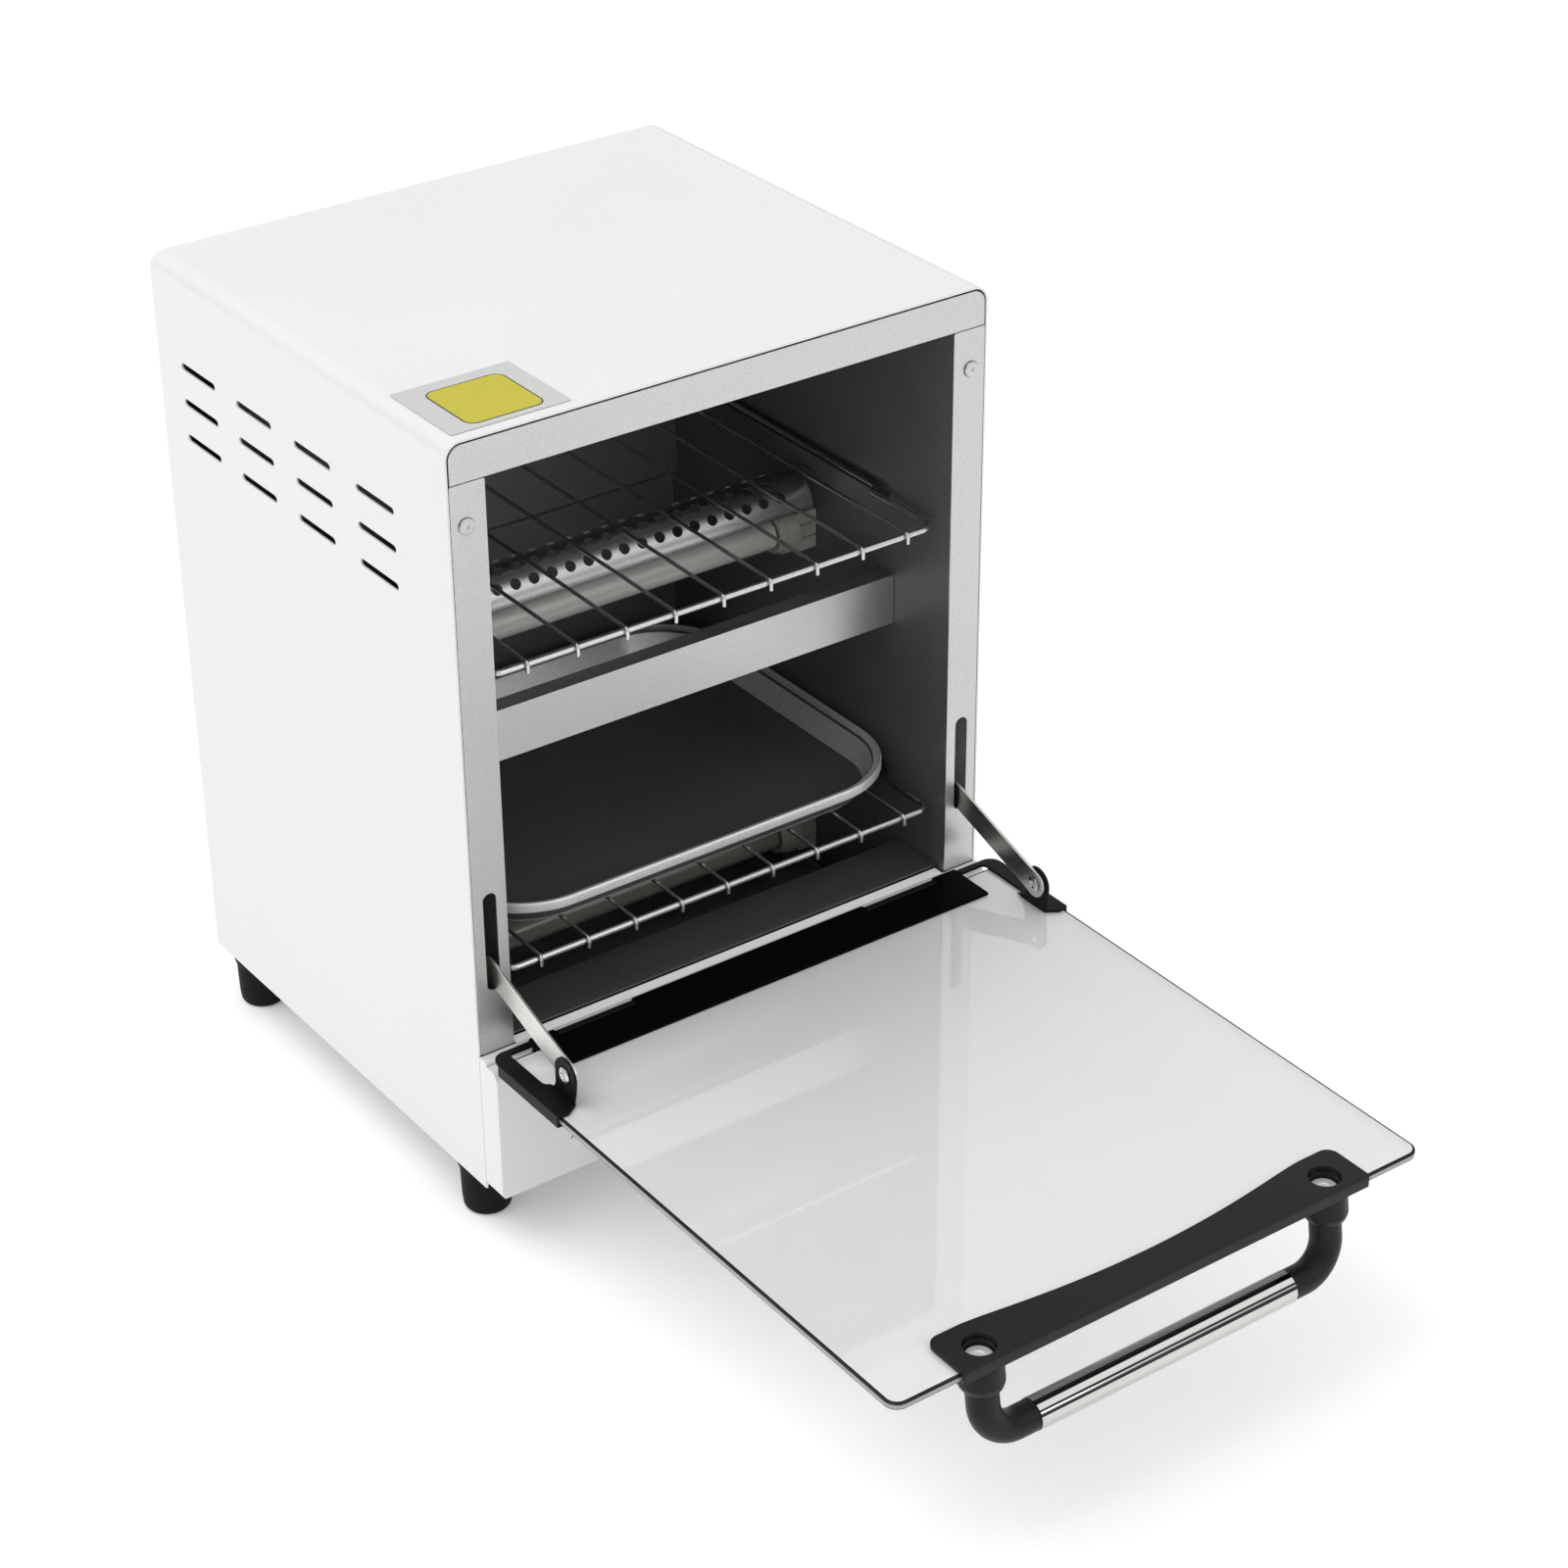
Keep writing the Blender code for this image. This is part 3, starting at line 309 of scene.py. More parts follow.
def ramp(tree, source, stops):
    """A colour ramp of (position, colour) pairs fed by a socket."""
    made = tree.nodes.new("ShaderNodeValToRGB")
    tree.links.new(source, made.inputs["Fac"])
    band = made.color_ramp.elements
    for element, (spot, colour) in zip(band, (stops[0], stops[-1]), strict=True):
        element.position = spot
        element.color = (*colour, 1.0)
    for spot, colour in stops[1:-1]:
        band.new(spot).color = (*colour, 1.0)
    return made.outputs["Color"]


def scaled(colour, amount):
    return tuple(max(0.0, min(1.0, c * amount)) for c in colour)


def look(name, colour, roughness, metallic=0.0, *, grain=400.0, stretch=(1, 1, 1), spread=0.05,
         cloud=0.03, rough_spread=0.06, bump=0.1, bump_scale=900.0, height=0.0001, **sockets):
    """A finish with fine grain, broad clouding, uneven gloss and a surface texture."""
    made = bpy.data.materials.new(name)
    made.use_nodes = True
    tree = made.node_tree
    shader = tree.nodes["Principled BSDF"]
    shader.inputs["Metallic"].default_value = metallic
    for key, value in sockets.items():
        shader.inputs[key.replace("_", " ")].default_value = value
    spot = wired(tree, "ShaderNodeTexCoord").outputs["Object"]
    mapped = wired(tree, "ShaderNodeMapping", Vector=spot, Scale=stretch).outputs["Vector"]
    fine = wired(tree, "ShaderNodeTexNoise", Vector=mapped, Scale=grain, Detail=3.0)
    broad = wired(tree, "ShaderNodeTexNoise", Vector=spot, Scale=14.0, Detail=2.0)
    tone = ramp(tree, fine.outputs["Fac"], ((0.3, scaled(colour, 1 - spread)),
                                            (0.7, scaled(colour, 1 + spread))))
    shade = ramp(tree, broad.outputs["Fac"], ((0.3, (1 - cloud,) * 3), (0.7, (1.0,) * 3)))
    mix = wired(tree, "ShaderNodeMix", {"data_type": "RGBA", "blend_type": "MULTIPLY"})
    mix.inputs[0].default_value = 1.0
    tree.links.new(tone, mix.inputs[6])
    tree.links.new(shade, mix.inputs[7])
    tree.links.new(mix.outputs[2], shader.inputs["Base Color"])
    gloss = wired(tree, "ShaderNodeMapRange", Value=broad.outputs["Fac"], From_Min=0.3,
                  From_Max=0.7, To_Min=max(0.02, roughness - rough_spread),
                  To_Max=roughness + rough_spread)
    tree.links.new(gloss.outputs["Result"], shader.inputs["Roughness"])
    relief = wired(tree, "ShaderNodeTexNoise", Vector=mapped, Scale=bump_scale, Detail=2.0)
    raised = wired(tree, "ShaderNodeBump", Strength=bump, Distance=height,
                   Height=relief.outputs["Fac"])
    tree.links.new(raised.outputs["Normal"], shader.inputs["Normal"])
    LOOKS[name] = made
    return tree, mix


def paint_reflection_bands(tree, mix):
    """Paints reflections on a chrome tube: dark and bright stripes that run along it, set by angle
    round its axis.
    """
    tube = [sum(pair) / 2 for pair in zip(*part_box("handle_tube"))]
    spot = wired(tree, "ShaderNodeTexCoord").outputs["Object"]
    parts = wired(tree, "ShaderNodeSeparateXYZ", Vector=spot)
    across = wired(tree, "ShaderNodeMath", {"operation": "SUBTRACT"})
    across.inputs[0].default_value = tube[1]
    tree.links.new(parts.outputs["Y"], across.inputs[1])
    rise = wired(tree, "ShaderNodeMath", {"operation": "SUBTRACT"})
    tree.links.new(parts.outputs["Z"], rise.inputs[0])
    rise.inputs[1].default_value = tube[2]
    turn = wired(tree, "ShaderNodeMath", {"operation": "ARCTAN2"})
    tree.links.new(rise.outputs["Value"], turn.inputs[0])
    tree.links.new(across.outputs["Value"], turn.inputs[1])
    share = wired(tree, "ShaderNodeMapRange", Value=turn.outputs["Value"], From_Min=-math.pi,
                  From_Max=math.pi, To_Min=0.0, To_Max=1.0)
    line = ramp(tree, share.outputs["Result"], [(a / 360, (tone,) * 3) for a, tone in PAINTED_REFLECTION_BANDS])
    over = wired(tree, "ShaderNodeMix", {"data_type": "RGBA", "blend_type": "MULTIPLY"})
    over.inputs[0].default_value = 1.0
    tree.links.new(mix.outputs[2], over.inputs[6])
    tree.links.new(line, over.inputs[7])
    shader = tree.nodes["Principled BSDF"]
    tree.links.new(over.outputs[2], shader.inputs["Base Color"])


def make_looks():
    look("enamel", (0.765, 0.765, 0.76), 0.38, grain=900, spread=0.010, cloud=0.012,
         bump=0.08, bump_scale=700, height=0.00005, Coat_Weight=0.10, Coat_Roughness=0.2)
    # Painted light: the shelf's white enamel, made brighter than the rest and given a faint glow to
    # show it lit.
    look("ledge", (0.93, 0.93, 0.92), 0.38, grain=900, spread=0.010, cloud=0.012,
         bump=0.08, bump_scale=700, height=0.00005, Emission_Color=(1.0, 1.0, 1.0, 1.0),
         Emission_Strength=0.14)
    look("galvanised", (0.56, 0.57, 0.56), 0.40, 1.0, grain=1900, spread=0.14, cloud=0.05,
         bump=0.25, bump_scale=1500, height=0.00005)
    look("guard", (0.50, 0.51, 0.50), 0.30, 1.0, grain=1900, spread=0.14, cloud=0.05,
         bump=0.25, bump_scale=1500, height=0.00005)
    look("liner", (0.175, 0.190, 0.186), 0.46, 0.45, grain=2200, spread=0.24, cloud=0.08,
         bump=0.35, bump_scale=1600, height=0.00005)
    look("sill", (0.105, 0.115, 0.112), 0.46, 0.45, grain=2200, spread=0.24, cloud=0.08,
         bump=0.35, bump_scale=1600, height=0.00005)
    look("bright_wire", (0.66, 0.66, 0.65), 0.26, 1.0, grain=900, spread=0.06, cloud=0.08,
         bump=0.08, bump_scale=900, height=0.00004)
    look("stay_steel", (0.66, 0.65, 0.62), 0.34, 1.0, grain=700, stretch=(4, 0.25, 2),
         spread=0.08, bump=0.2, bump_scale=900, height=0.00004)
    look("tray_inside", (0.115, 0.128, 0.124), 0.42, 0.35, grain=1800, spread=0.22,
         cloud=0.06, bump=0.30, bump_scale=1500, height=0.00005)
    look("tray_metal", (0.84, 0.85, 0.84), 0.42, 0.55, grain=1300, spread=0.10, cloud=0.10,
         bump=0.20, bump_scale=900, height=0.00005)
    look("quartz", (0.66, 0.65, 0.62), 0.28, grain=160, stretch=(0.15, 1, 1), spread=0.06,
         cloud=0.12, bump=0.1, bump_scale=300, height=0.00004, Coat_Weight=0.4,
         Coat_Roughness=0.1, Subsurface_Weight=0.15, Subsurface_Scale=0.004)
    # Painted shade: the lower tube is the same quartz as the others, darkened because the lower
    # tier lies in shadow.
    look("quartz_painted_shade", (0.30, 0.28, 0.25), 0.24, grain=160, stretch=(0.15, 1, 1), spread=0.10,
         cloud=0.15, bump=0.1, bump_scale=300, height=0.00004, Coat_Weight=0.5,
         Coat_Roughness=0.1)
    look("ceramic", (0.46, 0.45, 0.41), 0.62, grain=1500, spread=0.10, cloud=0.15, bump=0.35,
         bump_scale=1200, height=0.00008)
    look("black_coat", (0.0040, 0.0040, 0.0042), 0.42, grain=1300, spread=0.25, bump=0.30,
         bump_scale=1600, height=0.00006, Specular_IOR_Level=0.12)
    look("black_strip", (0.0016, 0.0016, 0.0016), 0.50, grain=1300, spread=0.25, bump=0.30,
         bump_scale=1600, height=0.00006, Specular_IOR_Level=0.03)
    look("black_plastic", (0.0085, 0.0085, 0.009), 0.42, grain=1100, spread=0.18, bump=0.35,
         bump_scale=2200, height=0.00005, Specular_IOR_Level=0.20)
    # Chrome for the handle tube, whose colour also carries painted reflections as dark and bright
    # stripes.
    tree, mix = look("polished", (0.84, 0.83, 0.81), 0.09, 1.0, grain=500,
                        stretch=(0.04, 2, 2), spread=0.05, cloud=0.04, rough_spread=0.03,
                        bump=0.05, bump_scale=800, height=0.00003)
    paint_reflection_bands(tree, mix)
    look("zinc", (0.72, 0.72, 0.71), 0.50, 0.6, grain=1500, spread=0.06, bump=0.15,
         bump_scale=1500, height=0.00004)
    look("rubber", (0.0045, 0.0045, 0.0047), 0.62, grain=1500, spread=0.25, bump=0.5,
         bump_scale=1800, height=0.00008, Specular_IOR_Level=0.15)
    look("film", (0.56, 0.56, 0.55), 0.42, grain=700, spread=0.03, cloud=0.02, bump=0.1,
         bump_scale=500, height=0.00003)
    look("film_yellow", (0.52, 0.46, 0.015), 0.40, grain=700, spread=0.04, cloud=0.02, bump=0.1,
         bump_scale=500, height=0.00003)
    look("ink", (0.03, 0.03, 0.03), 0.50, grain=900, spread=0.10, bump=0.05)
    look("knob", (0.80, 0.80, 0.79), 0.38, grain=900, spread=0.02, bump=0.2, bump_scale=1800,
         height=0.00004)
    look("unit", (0.30, 0.29, 0.27), 0.50, grain=900, spread=0.08, bump=0.3)
    look("glass", (0.80, 0.80, 0.80), 0.05, grain=60, spread=0.006, cloud=0.01,
         rough_spread=0.01, bump=0.02, bump_scale=30, height=0.00003, Alpha=0.84,
         Specular_IOR_Level=0.8, Coat_Weight=1.0, Coat_Roughness=0.02)
    # Painted reflection: near-black on the glass's eased edge and on a thin ring inside it, for the
    # dark the clear edge shows.
    look("glass_painted_dark_edge", (0.010, 0.011, 0.011), 0.25, grain=120, spread=0.2, bump=0.05,
         Specular_IOR_Level=0.2)
    look("glass_edge", (0.34, 0.35, 0.345), 0.20, grain=120, stretch=(0.2, 1, 3), spread=0.12,
         cloud=0.10, bump=0.05)


# ---- casing ---------------------------------------------------------------
def casing():
    low, high = cad("outer_casing")
    half, top, corner = high.x, high.z, 0.0066
    outside = arc((half - corner, top - corner), corner, 0, 90, 18)
    outside += arc((corner - half, top - corner), corner, 90, 180, 18)
    inside = arc((corner - half, top - corner), corner - SHEET, 180, 90, 18)
    inside += arc((half - corner, top - corner), corner - SHEET, 90, 0, 18)
    shape = [(half, low.z)] + outside + [(-half, low.z), (SHEET - half, low.z)]
    shape += inside + [(half - SHEET, low.z)]
    slots = []
    for column in (0.0515, 0.0970, 0.1412, 0.1850):
        for row in (0.2696, 0.2848, 0.3000):
            loop = slot_loop((column, row), 0.0270, 0.0031, 7)
            slots += [plate([loop], "YZ", -half - 0.004, -half + 0.004),
                      plate([loop], "YZ", half - 0.004, half + 0.004)]
    body = shaped(plate([shape], "XZ", low.y, high.y), gather(*slots), bevel=0.00012)
    put("casing_shell", body, ["enamel"], "oven", ["outer_casing"])


def label():
    """A plain data-plate film with a yellow patch and no marks."""
    low, high = cad("top_label")
    z = low.z - 0.0002
    film = plate([rounded((low.x, low.y), (high.x, high.y), (0.001,) * 4)], "XY", z, z + 0.0003)
    patch = [rounded((-0.1040, 0.0085), (-0.0725, 0.0400), (0.004,) * 4)]
    border = [rounded((-0.1046, 0.0079), (-0.0719, 0.0406), (0.0046,) * 4)]
    put("label_film", gather((film, 0), (plate(border, "XY", z + 0.0003, z + 0.00034), 2),
                             (plate(patch, "XY", z + 0.0003, z + 0.00038), 1)),
        ["film", "film_yellow", "ink"], "oven", ["top_label"])


def header():
    low, high = cad("front_header")
    seam = 0.0004
    face = plate([rounded((low.x + seam, low.z), (high.x - seam, high.z - seam),
                          (0, 0.0054, 0.0054, 0), 12)], "XZ", low.y, low.y + SHEET, 0.00015)
    lip = block((-0.1032, 0.0004, low.z), (0.1032, high.y, low.z + 0.0006), 0.0001, 1)
    put("header_strip", gather(face, lip), ["galvanised"], "oven", ["front_header"])


def pillars():
    for side, sign in SIDES:
        low, high = cad(f"pillar_{side}")
        outline = rounded((low.x, low.z), (high.x, high.z), (0.0008,) * 4, 4)
        slot = [(sign * 0.1116 + v, 0.1341 + u) for u, v in slot_loop((0, 0), 0.0426, 0.0058, 14)]
        sheet = plate([outline, slot], "XZ", low.y, low.y + SHEET, 0.00014)
        put(f"pillar_{side}_sheet", sheet, ["galvanised"], "oven", [f"pillar_{side}"])
        low, high = cad(f"pillar_screw_{side}")
        spot = ((low.x + high.x) / 2, -0.0002, (low.z + high.z) / 2)
        head = [(0, 0.0005), (0.0004, 0.0005), (0.0006, 0.0010), (0.0030, 0.0008), (0.0033, 0.0004),
                (0.0033, 0.0), (0, 0.0)]
        put(f"pillar_{side}_screw", turned(soft_corner(head, 0.0002, 3), spot, "-Y", 40),
            ["galvanised"], "oven", [f"pillar_screw_{side}"])


def feet():
    for row in ("front", "rear"):
        for side, _ in SIDES:
            low, high = cad(f"foot_{row}_{side}")
            spot = ((low.x + high.x) / 2, (low.y + high.y) / 2, 0)
            profile = [(0, 0.0234), (0.0108, 0.0234), (0.0112, 0.0226), (0.0111, 0.0210),
                       (0.0106, 0.0196), (0.0103, 0.0184), (0.0100, 0.0060), (0.0096, 0.0016),
                       (0.0084, 0.0), (0.0050, 0.0), (0.0046, 0.0010), (0, 0.0010)]
            put(f"rubber_foot_{row}_{side}", turned(soft_corner(profile, 0.0006, 3), spot),
                ["rubber"], "oven", [f"foot_{row}_{side}"])


# ---- cavity ---------------------------------------------------------------
def walls():
    """Each wall is a flat sheet with two grooves pressed outwards for the racks."""
    front, rear = 0.0388, 0.1897
    for side, sign in SIDES:
        low, high = cad(f"cavity_wall_{side}")
        flat = rounded((low.y, low.z), (high.y, high.z), (0, 0, 0, 0))
        holes, rims = [], []
        for tier in ("upper_rack", "lower_rack"):
            centre = ((front + rear) / 2, cad(tier)[0].z + RACK_DROP + 0.0018)
            hole = slot_loop(centre, rear - front, 0.0074, 10)
            outer = slot_loop(centre, rear - front + 0.0016, 0.0090, 10)
            holes.append(hole)
            rims.append(plate([outer, hole], "YZ", *span(sign, 0.1052, 0.1077)))
            rims.append(plate([outer], "YZ", *span(sign, 0.1077, 0.1085)))
        sheet = plate([flat] + holes, "YZ", *span(sign, 0.1045, 0.1053))
        put(f"wall_{side}_sheet", gather(sheet, *rims), ["liner"], "oven",
            [f"cavity_wall_{side}"])


def keep(node, finish, bevel=0.0):
    """A CAD node that shows as it is, in a better finish."""
    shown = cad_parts[node]
    if not shown.material_slots:
        shown.data.materials.append(None)
    for holder in shown.material_slots:
        holder.link = "OBJECT"
        holder.material = LOOKS[finish]
    if bevel:
        ease = shown.modifiers.new("ease", "BEVEL")
        ease.width = bevel
        ease.segments = 2
        ease.limit_method = "ANGLE"
        ease.angle_limit = math.radians(50)


def rack(name, front, z):
    """A bent rail with cross wires welded on it, whose tips turn down over its front."""
    nose, rear, corner, steps = 0.1011, 0.1845, 0.0050, 8
    half = arc((nose - corner, front + corner), corner, -90, 0, 12)
    for i in range(steps + 1):
        t = i / steps
        blend = t * t * (3 - 2 * t)
        half.append((nose + (RACK_SIDE - nose) * blend, 0.0455 + 0.0050 * t))
    half += arc((RACK_SIDE - corner, rear - corner), corner, 0, 90, 12)
    path = [(x, y, z) for x, y in half + [(-x, y) for x, y in reversed(half)]]
    parts = [wire(path, RAIL_R, cyclic=True)]
    for i in range(WIRES):
        x = (i - (WIRES - 1) / 2) * WIRE_PITCH
        bend = arc((front - 0.0004, z + 0.0003), 0.0016, 90, 180, 6)
        route = [(x, rear + 0.0012, z + 0.0019)] + [(x, y, rise) for y, rise in bend]
        route.append((x, front - 0.0020, z - 0.0024))
        parts.append(wire(route, WIRE_R, resolution=4))
    put(f"{name}_wires", gather(*parts), ["bright_wire"], name, [name])


def ring(half_x, front, rear, radius, z):
    loop = rounded((-half_x, front), (half_x, rear), (radius,) * 4, 18)
    return [Vector((x, y, z)) for x, y in loop]


def tray():
    """A pressed tray as rings from its floor, over the rolled rim and back underneath."""
    low, high = cad("baking_tray")
    top = high.z
    inner = [(0.0160, low.z + 0.0006), (0.0108, low.z + 0.0006), (0.0099, low.z + 0.0010),
             (0.0085, low.z + 0.0011), (0.0075, low.z + 0.0018), (0.0040, top - 0.0022),
             (0.0034, top - 0.0012), (0.0027, top - 0.0009)]
    rim = [(0.0016, top - 0.0009), (0.0011, top - 0.0003), (0.0006, top - 0.00005),
           (0.0001, top - 0.0004), (0.0, top - 0.0010), (0.0, top - 0.0036), (0.0002, top - 0.0041),
           (0.0006, top - 0.0041), (0.0008, top - 0.0036), (0.0009, top - 0.0018)]
    outer = [(0.0035, top - 0.0018), (0.0044, top - 0.0026), (0.0080, low.z + 0.0012),
             (0.0090, low.z + 0.0003), (0.0108, low.z), (0.0160, low.z)]
    work = bmesh.new()
    rings = []
    for inset, z in inner + rim + outer:
        radius = 0.0366 - inset
        points = ring(high.x - inset, low.y + inset, high.y - inset, radius, z)
        rings.append([work.verts.new(point) for point in points])
    faces = []
    for first, second in zip(rings, rings[1:]):
        count = len(first)
        faces.append([work.faces.new((first[i], first[(i + 1) % count],
                                      second[(i + 1) % count], second[i]))
                      for i in range(count)])
    for index, band in enumerate(faces):
        for face in band:
            face.material_index = 0 if index < len(inner) - 2 else 1
    work.faces.new(rings[0]).material_index = 0
    work.faces.new(rings[-1]).material_index = 1
    bmesh.ops.recalc_face_normals(work, faces=work.faces)
    mesh = bpy.data.meshes.new("tray")
    work.to_mesh(mesh)
    work.free()
    put("baking_tray_pan", mesh, ["tray_inside", "tray_metal"], "baking_tray", ["baking_tray"],
        50)


def heaters():
    for tier in ("upper", "middle", "lower"):
        low, high = cad(f"heater_tube_{tier}")
        centre = ((low.y + high.y) / 2, (low.z + high.z) / 2)
        radius = (high.z - low.z) / 2
        tube = plate([circle(centre, radius, 48), circle(centre, radius - 0.0011, 48)], "YZ",
                     low.x, high.x, 0.0002)
        # The lower tube takes the darkened quartz, painted shade.
        put(f"quartz_tube_{tier}", tube, ["quartz_painted_shade" if tier == "lower" else "quartz"], "oven",
            [f"heater_tube_{tier}"])
        for side, sign in SIDES:
            heater_end(tier, side, sign, centre)


def heater_end(tier, side, sign, centre):
    """A steatite cup on the tube's end, and the ribbed block that carries it in the wall."""
    y, z = centre
    root, tip = 0.0944, 0.1042
    cup = [(0.0068, 0.0096), (0.0084, 0.0096), (0.0088, 0.0092), (0.0088, 0.0064), (0.0098, 0.0060),
           (0.0100, 0.0056), (0.0100, 0.0), (0.0, 0.0), (0.0, 0.0060), (0.0068, 0.0062)]
    cap = turned(soft_corner(cup, 0.0004, 3), (sign * 0.0947, y, z), "-X" if sign > 0 else "X", 48)
    x0, x1 = span(sign, root, tip)
    parts = [cap, block((x0, y - 0.0062, z - 0.0078), (x1, y + 0.0062, z + 0.0078), 0.0004, 2)]
    for row in (-0.0060, 0.0, 0.0060):
        parts.append(block((x0, y - 0.0072, z + row - 0.0027), (x1, y + 0.0072, z + row + 0.0027),
                           0.0006, 2))
    x0, x1 = span(sign, 0.1030, 0.1098)
    parts.append(rod((y, z), "X", x0, x1, 0.0045, 32, 0.0003))
    put(f"ceramic_end_{tier}_{side}", gather(*parts), ["ceramic"], "oven",
        [f"heater_end_{tier}_{side}"])


def guard():
    """A perforated arch over the middle heater."""
    low, high = cad("heater_guard")
    centre = ((low.y + high.y) / 2, low.z)
    radius = (high.y - low.y) / 2
    outside = arc(centre, radius, 0, 180, 40)
    inside = arc(centre, radius - 0.0006, 180, 0, 40)
    sheet = plate([outside + inside], "YZ", low.x, high.x)
    top = low.z + radius * math.sin(math.radians(62))
    tools = []
    for sign in (-1, 1):
        x0, x1 = span(sign, 0.0985, 0.1100)
        tools.append(block((x0, 0.0800, low.z - 0.003), (x1, 0.1100, top)))
    pegs = []
    for row, angle in enumerate((143, 109.5, 76, 42.5)):
        shift = 0.5 * (row % 2)
        for i in range(22 - row % 2):
            peg = rod((0, 0), "Z", radius - 0.0035, radius + 0.0025, 0.0024, 14)
            peg.transform(Matrix.Translation((0.0841 - (i + shift) * 0.00844, *centre))
                          @ Matrix.Rotation(math.radians(angle - 90), 4, "X"))
            pegs.append(peg)
    put("guard_arch", shaped(sheet, *tools, gather(*pegs)), ["guard"], "oven",
        ["heater_guard"], 30)


# ---- control panel --------------------------------------------------------
def panel():
    low, high = cad("control_panel")
    half, front, foot, ledge, trough = high.x, low.y, low.z, high.z, 0.0834
    shape = arc((front + 0.0040, trough - 0.0040), 0.0040, 180, 90, 12)
    shape += [(-0.0052, trough), (-0.0052, ledge - 0.0006), (-0.0046, ledge), (-0.0003, ledge),
              (-0.0003, foot), (front + 0.0034, foot)]
    shape += arc((front + 0.0030, foot + 0.0030), 0.0030, 262, 180, 8)
    solid = plate([shape], "YZ", -half, half)
    work = bmesh.new()
    work.from_mesh(solid)
    rim = [edge for edge in work.edges
           if all(abs(abs(v.co.x) - half) < 1e-5 for v in edge.verts)
           and edge.verts[0].co.x * edge.verts[1].co.x > 0
           and min(v.co.y for v in edge.verts) < front + 0.0033
           and edge.calc_face_angle(0) > 0.5]
    bmesh.ops.bevel(work, geom=rim, offset=0.0036, segments=6, affect="EDGES", profile=0.5,
                    clamp_overlap=True)
    work.to_mesh(solid)
    work.free()
    inner = half - 0.0016
    hollow = block((-inner, front + 0.0016, foot + 0.0016), (inner, 0.0020, trough - 0.0016))
    turn, corners = 0.0045, []
    for sign in (-1, 1):
        wedge = arc((half - turn, foot + turn), turn, 0, -90, 14)
        wedge += [(half - turn, foot - 0.001), (half + 0.001, foot - 0.001),
                  (half + 0.001, foot + turn)]
        corners.append(plate([[(sign * u, v) for u, v in wedge]], "XZ", front - 0.001, 0.001))
    body = shaped(solid, hollow, *corners)
    # The shelf takes the brighter, glowing enamel: painted light.
    shelf = block((-0.1032, -0.0020, ledge - 0.0010), (0.1032, 0.0047, ledge - 0.00005), 0.0002, 2)
    put("panel_cover", gather((body, 0), (shelf, 1)), ["enamel", "ledge"], "oven",
        ["control_panel"], 40)


def dial(name, x, sweep, count):
    """Printed marks round a knob, from the top over an angle in degrees."""
    z = (cad("timer_knob")[0].z + cad("timer_knob")[1].z) / 2
    face = cad("control_panel")[0].y
    marks = []
    for i in range(count):
        angle = math.radians(90 - sweep * i / (count - 1))
        long = i % 2 == 0
        mark = block((0.0190, -0.00022 if long else -0.00016, -0.00005),
                     (0.0212 if long else 0.0203, 0.00022 if long else 0.00016, 0.00005))
        mark.transform(Matrix.Translation((x, face - 0.00003, z))
                       @ Matrix.Rotation(math.radians(90), 4, "X")
                       @ Matrix.Rotation(angle, 4, "Z"))
        marks.append(mark)
    put(name, gather(*marks), ["ink"], "oven")


def knobs():
    for name in ("timer_knob", "heat_knob"):
        low, high = cad(name)
        x, z = (low.x + high.x) / 2, (low.z + high.z) / 2
        rear = high.y
        skirt = soft_corner([(0, 0.0062), (0.0138, 0.0060), (0.0162, 0.0034), (0.0165, 0.0),
                             (0.0150, 0.0), (0.0150, 0.0020), (0.0040, 0.0020), (0.0040, 0.0)],
                            0.0010, 5)
        dish = turned(skirt, (x, rear, z), "-Y", 64)
        grip = block((x - 0.0035, low.y, z - 0.0145), (x + 0.0035, rear - 0.0050, z + 0.0145),
                     0.0016, 4)
        line = block((x - 0.0005, low.y - 0.00005, z + 0.0040),
                     (x + 0.0005, low.y + 0.0004, z + 0.0128))
        put(f"{name}_cap", gather((dish, 0), (grip, 0), (line, 1)), ["knob", "ink"], name, [name])
    x = (cad("timer_knob")[0].x + cad("timer_knob")[1].x) / 2
    dial("timer_marks", x, 300, 11)
    dial("heat_marks", -x, 270, 7)


# ---- door -----------------------------------------------------------------
def glass():
    """The pane, with a painted dark reflection on its eased top edges and in a thin line just
    inside them.
    """
    low, high = cad("door_glass")
    spots = [cad(f"handle_screw_{side}") for side, _ in SIDES]
    loops = [rounded((low.x, low.y), (high.x, high.y), (0.0055, 0.001, 0.001, 0.0055), 14)]
    loops += [circle(((a.x + b.x) / 2, (a.y + b.y) / 2), 0.0063, 40) for a, b in spots]
    pane = plate(loops, "XY", low.z, high.z, ARRIS)
    # A thin ring just inside the top edges, in the near-black look: a painted dark reflection of
    # the edge.
    rim = [rounded((low.x + inset, low.y + inset), (high.x - inset, high.y - inset),
                   (0.0055 - inset, 0.0, 0.0, 0.0055 - inset), 14) for inset in (0.0006, 0.0011)]
    mesh = gather(pane, plate(rim, "XY", high.z + 0.00001, high.z + 0.00005))
    for face in mesh.polygons:
        tilt = abs(face.normal.z)
        in_painted_line = face.index >= len(pane.polygons)
        flat, steep = tilt > 0.98, tilt <= 0.2
        face.material_index = 1 if in_painted_line else 0 if flat else 2 if steep else 1
    put("glass_pane", mesh, ["glass", "glass_painted_dark_edge", "glass_edge"], "door", ["door_glass"],
        30)


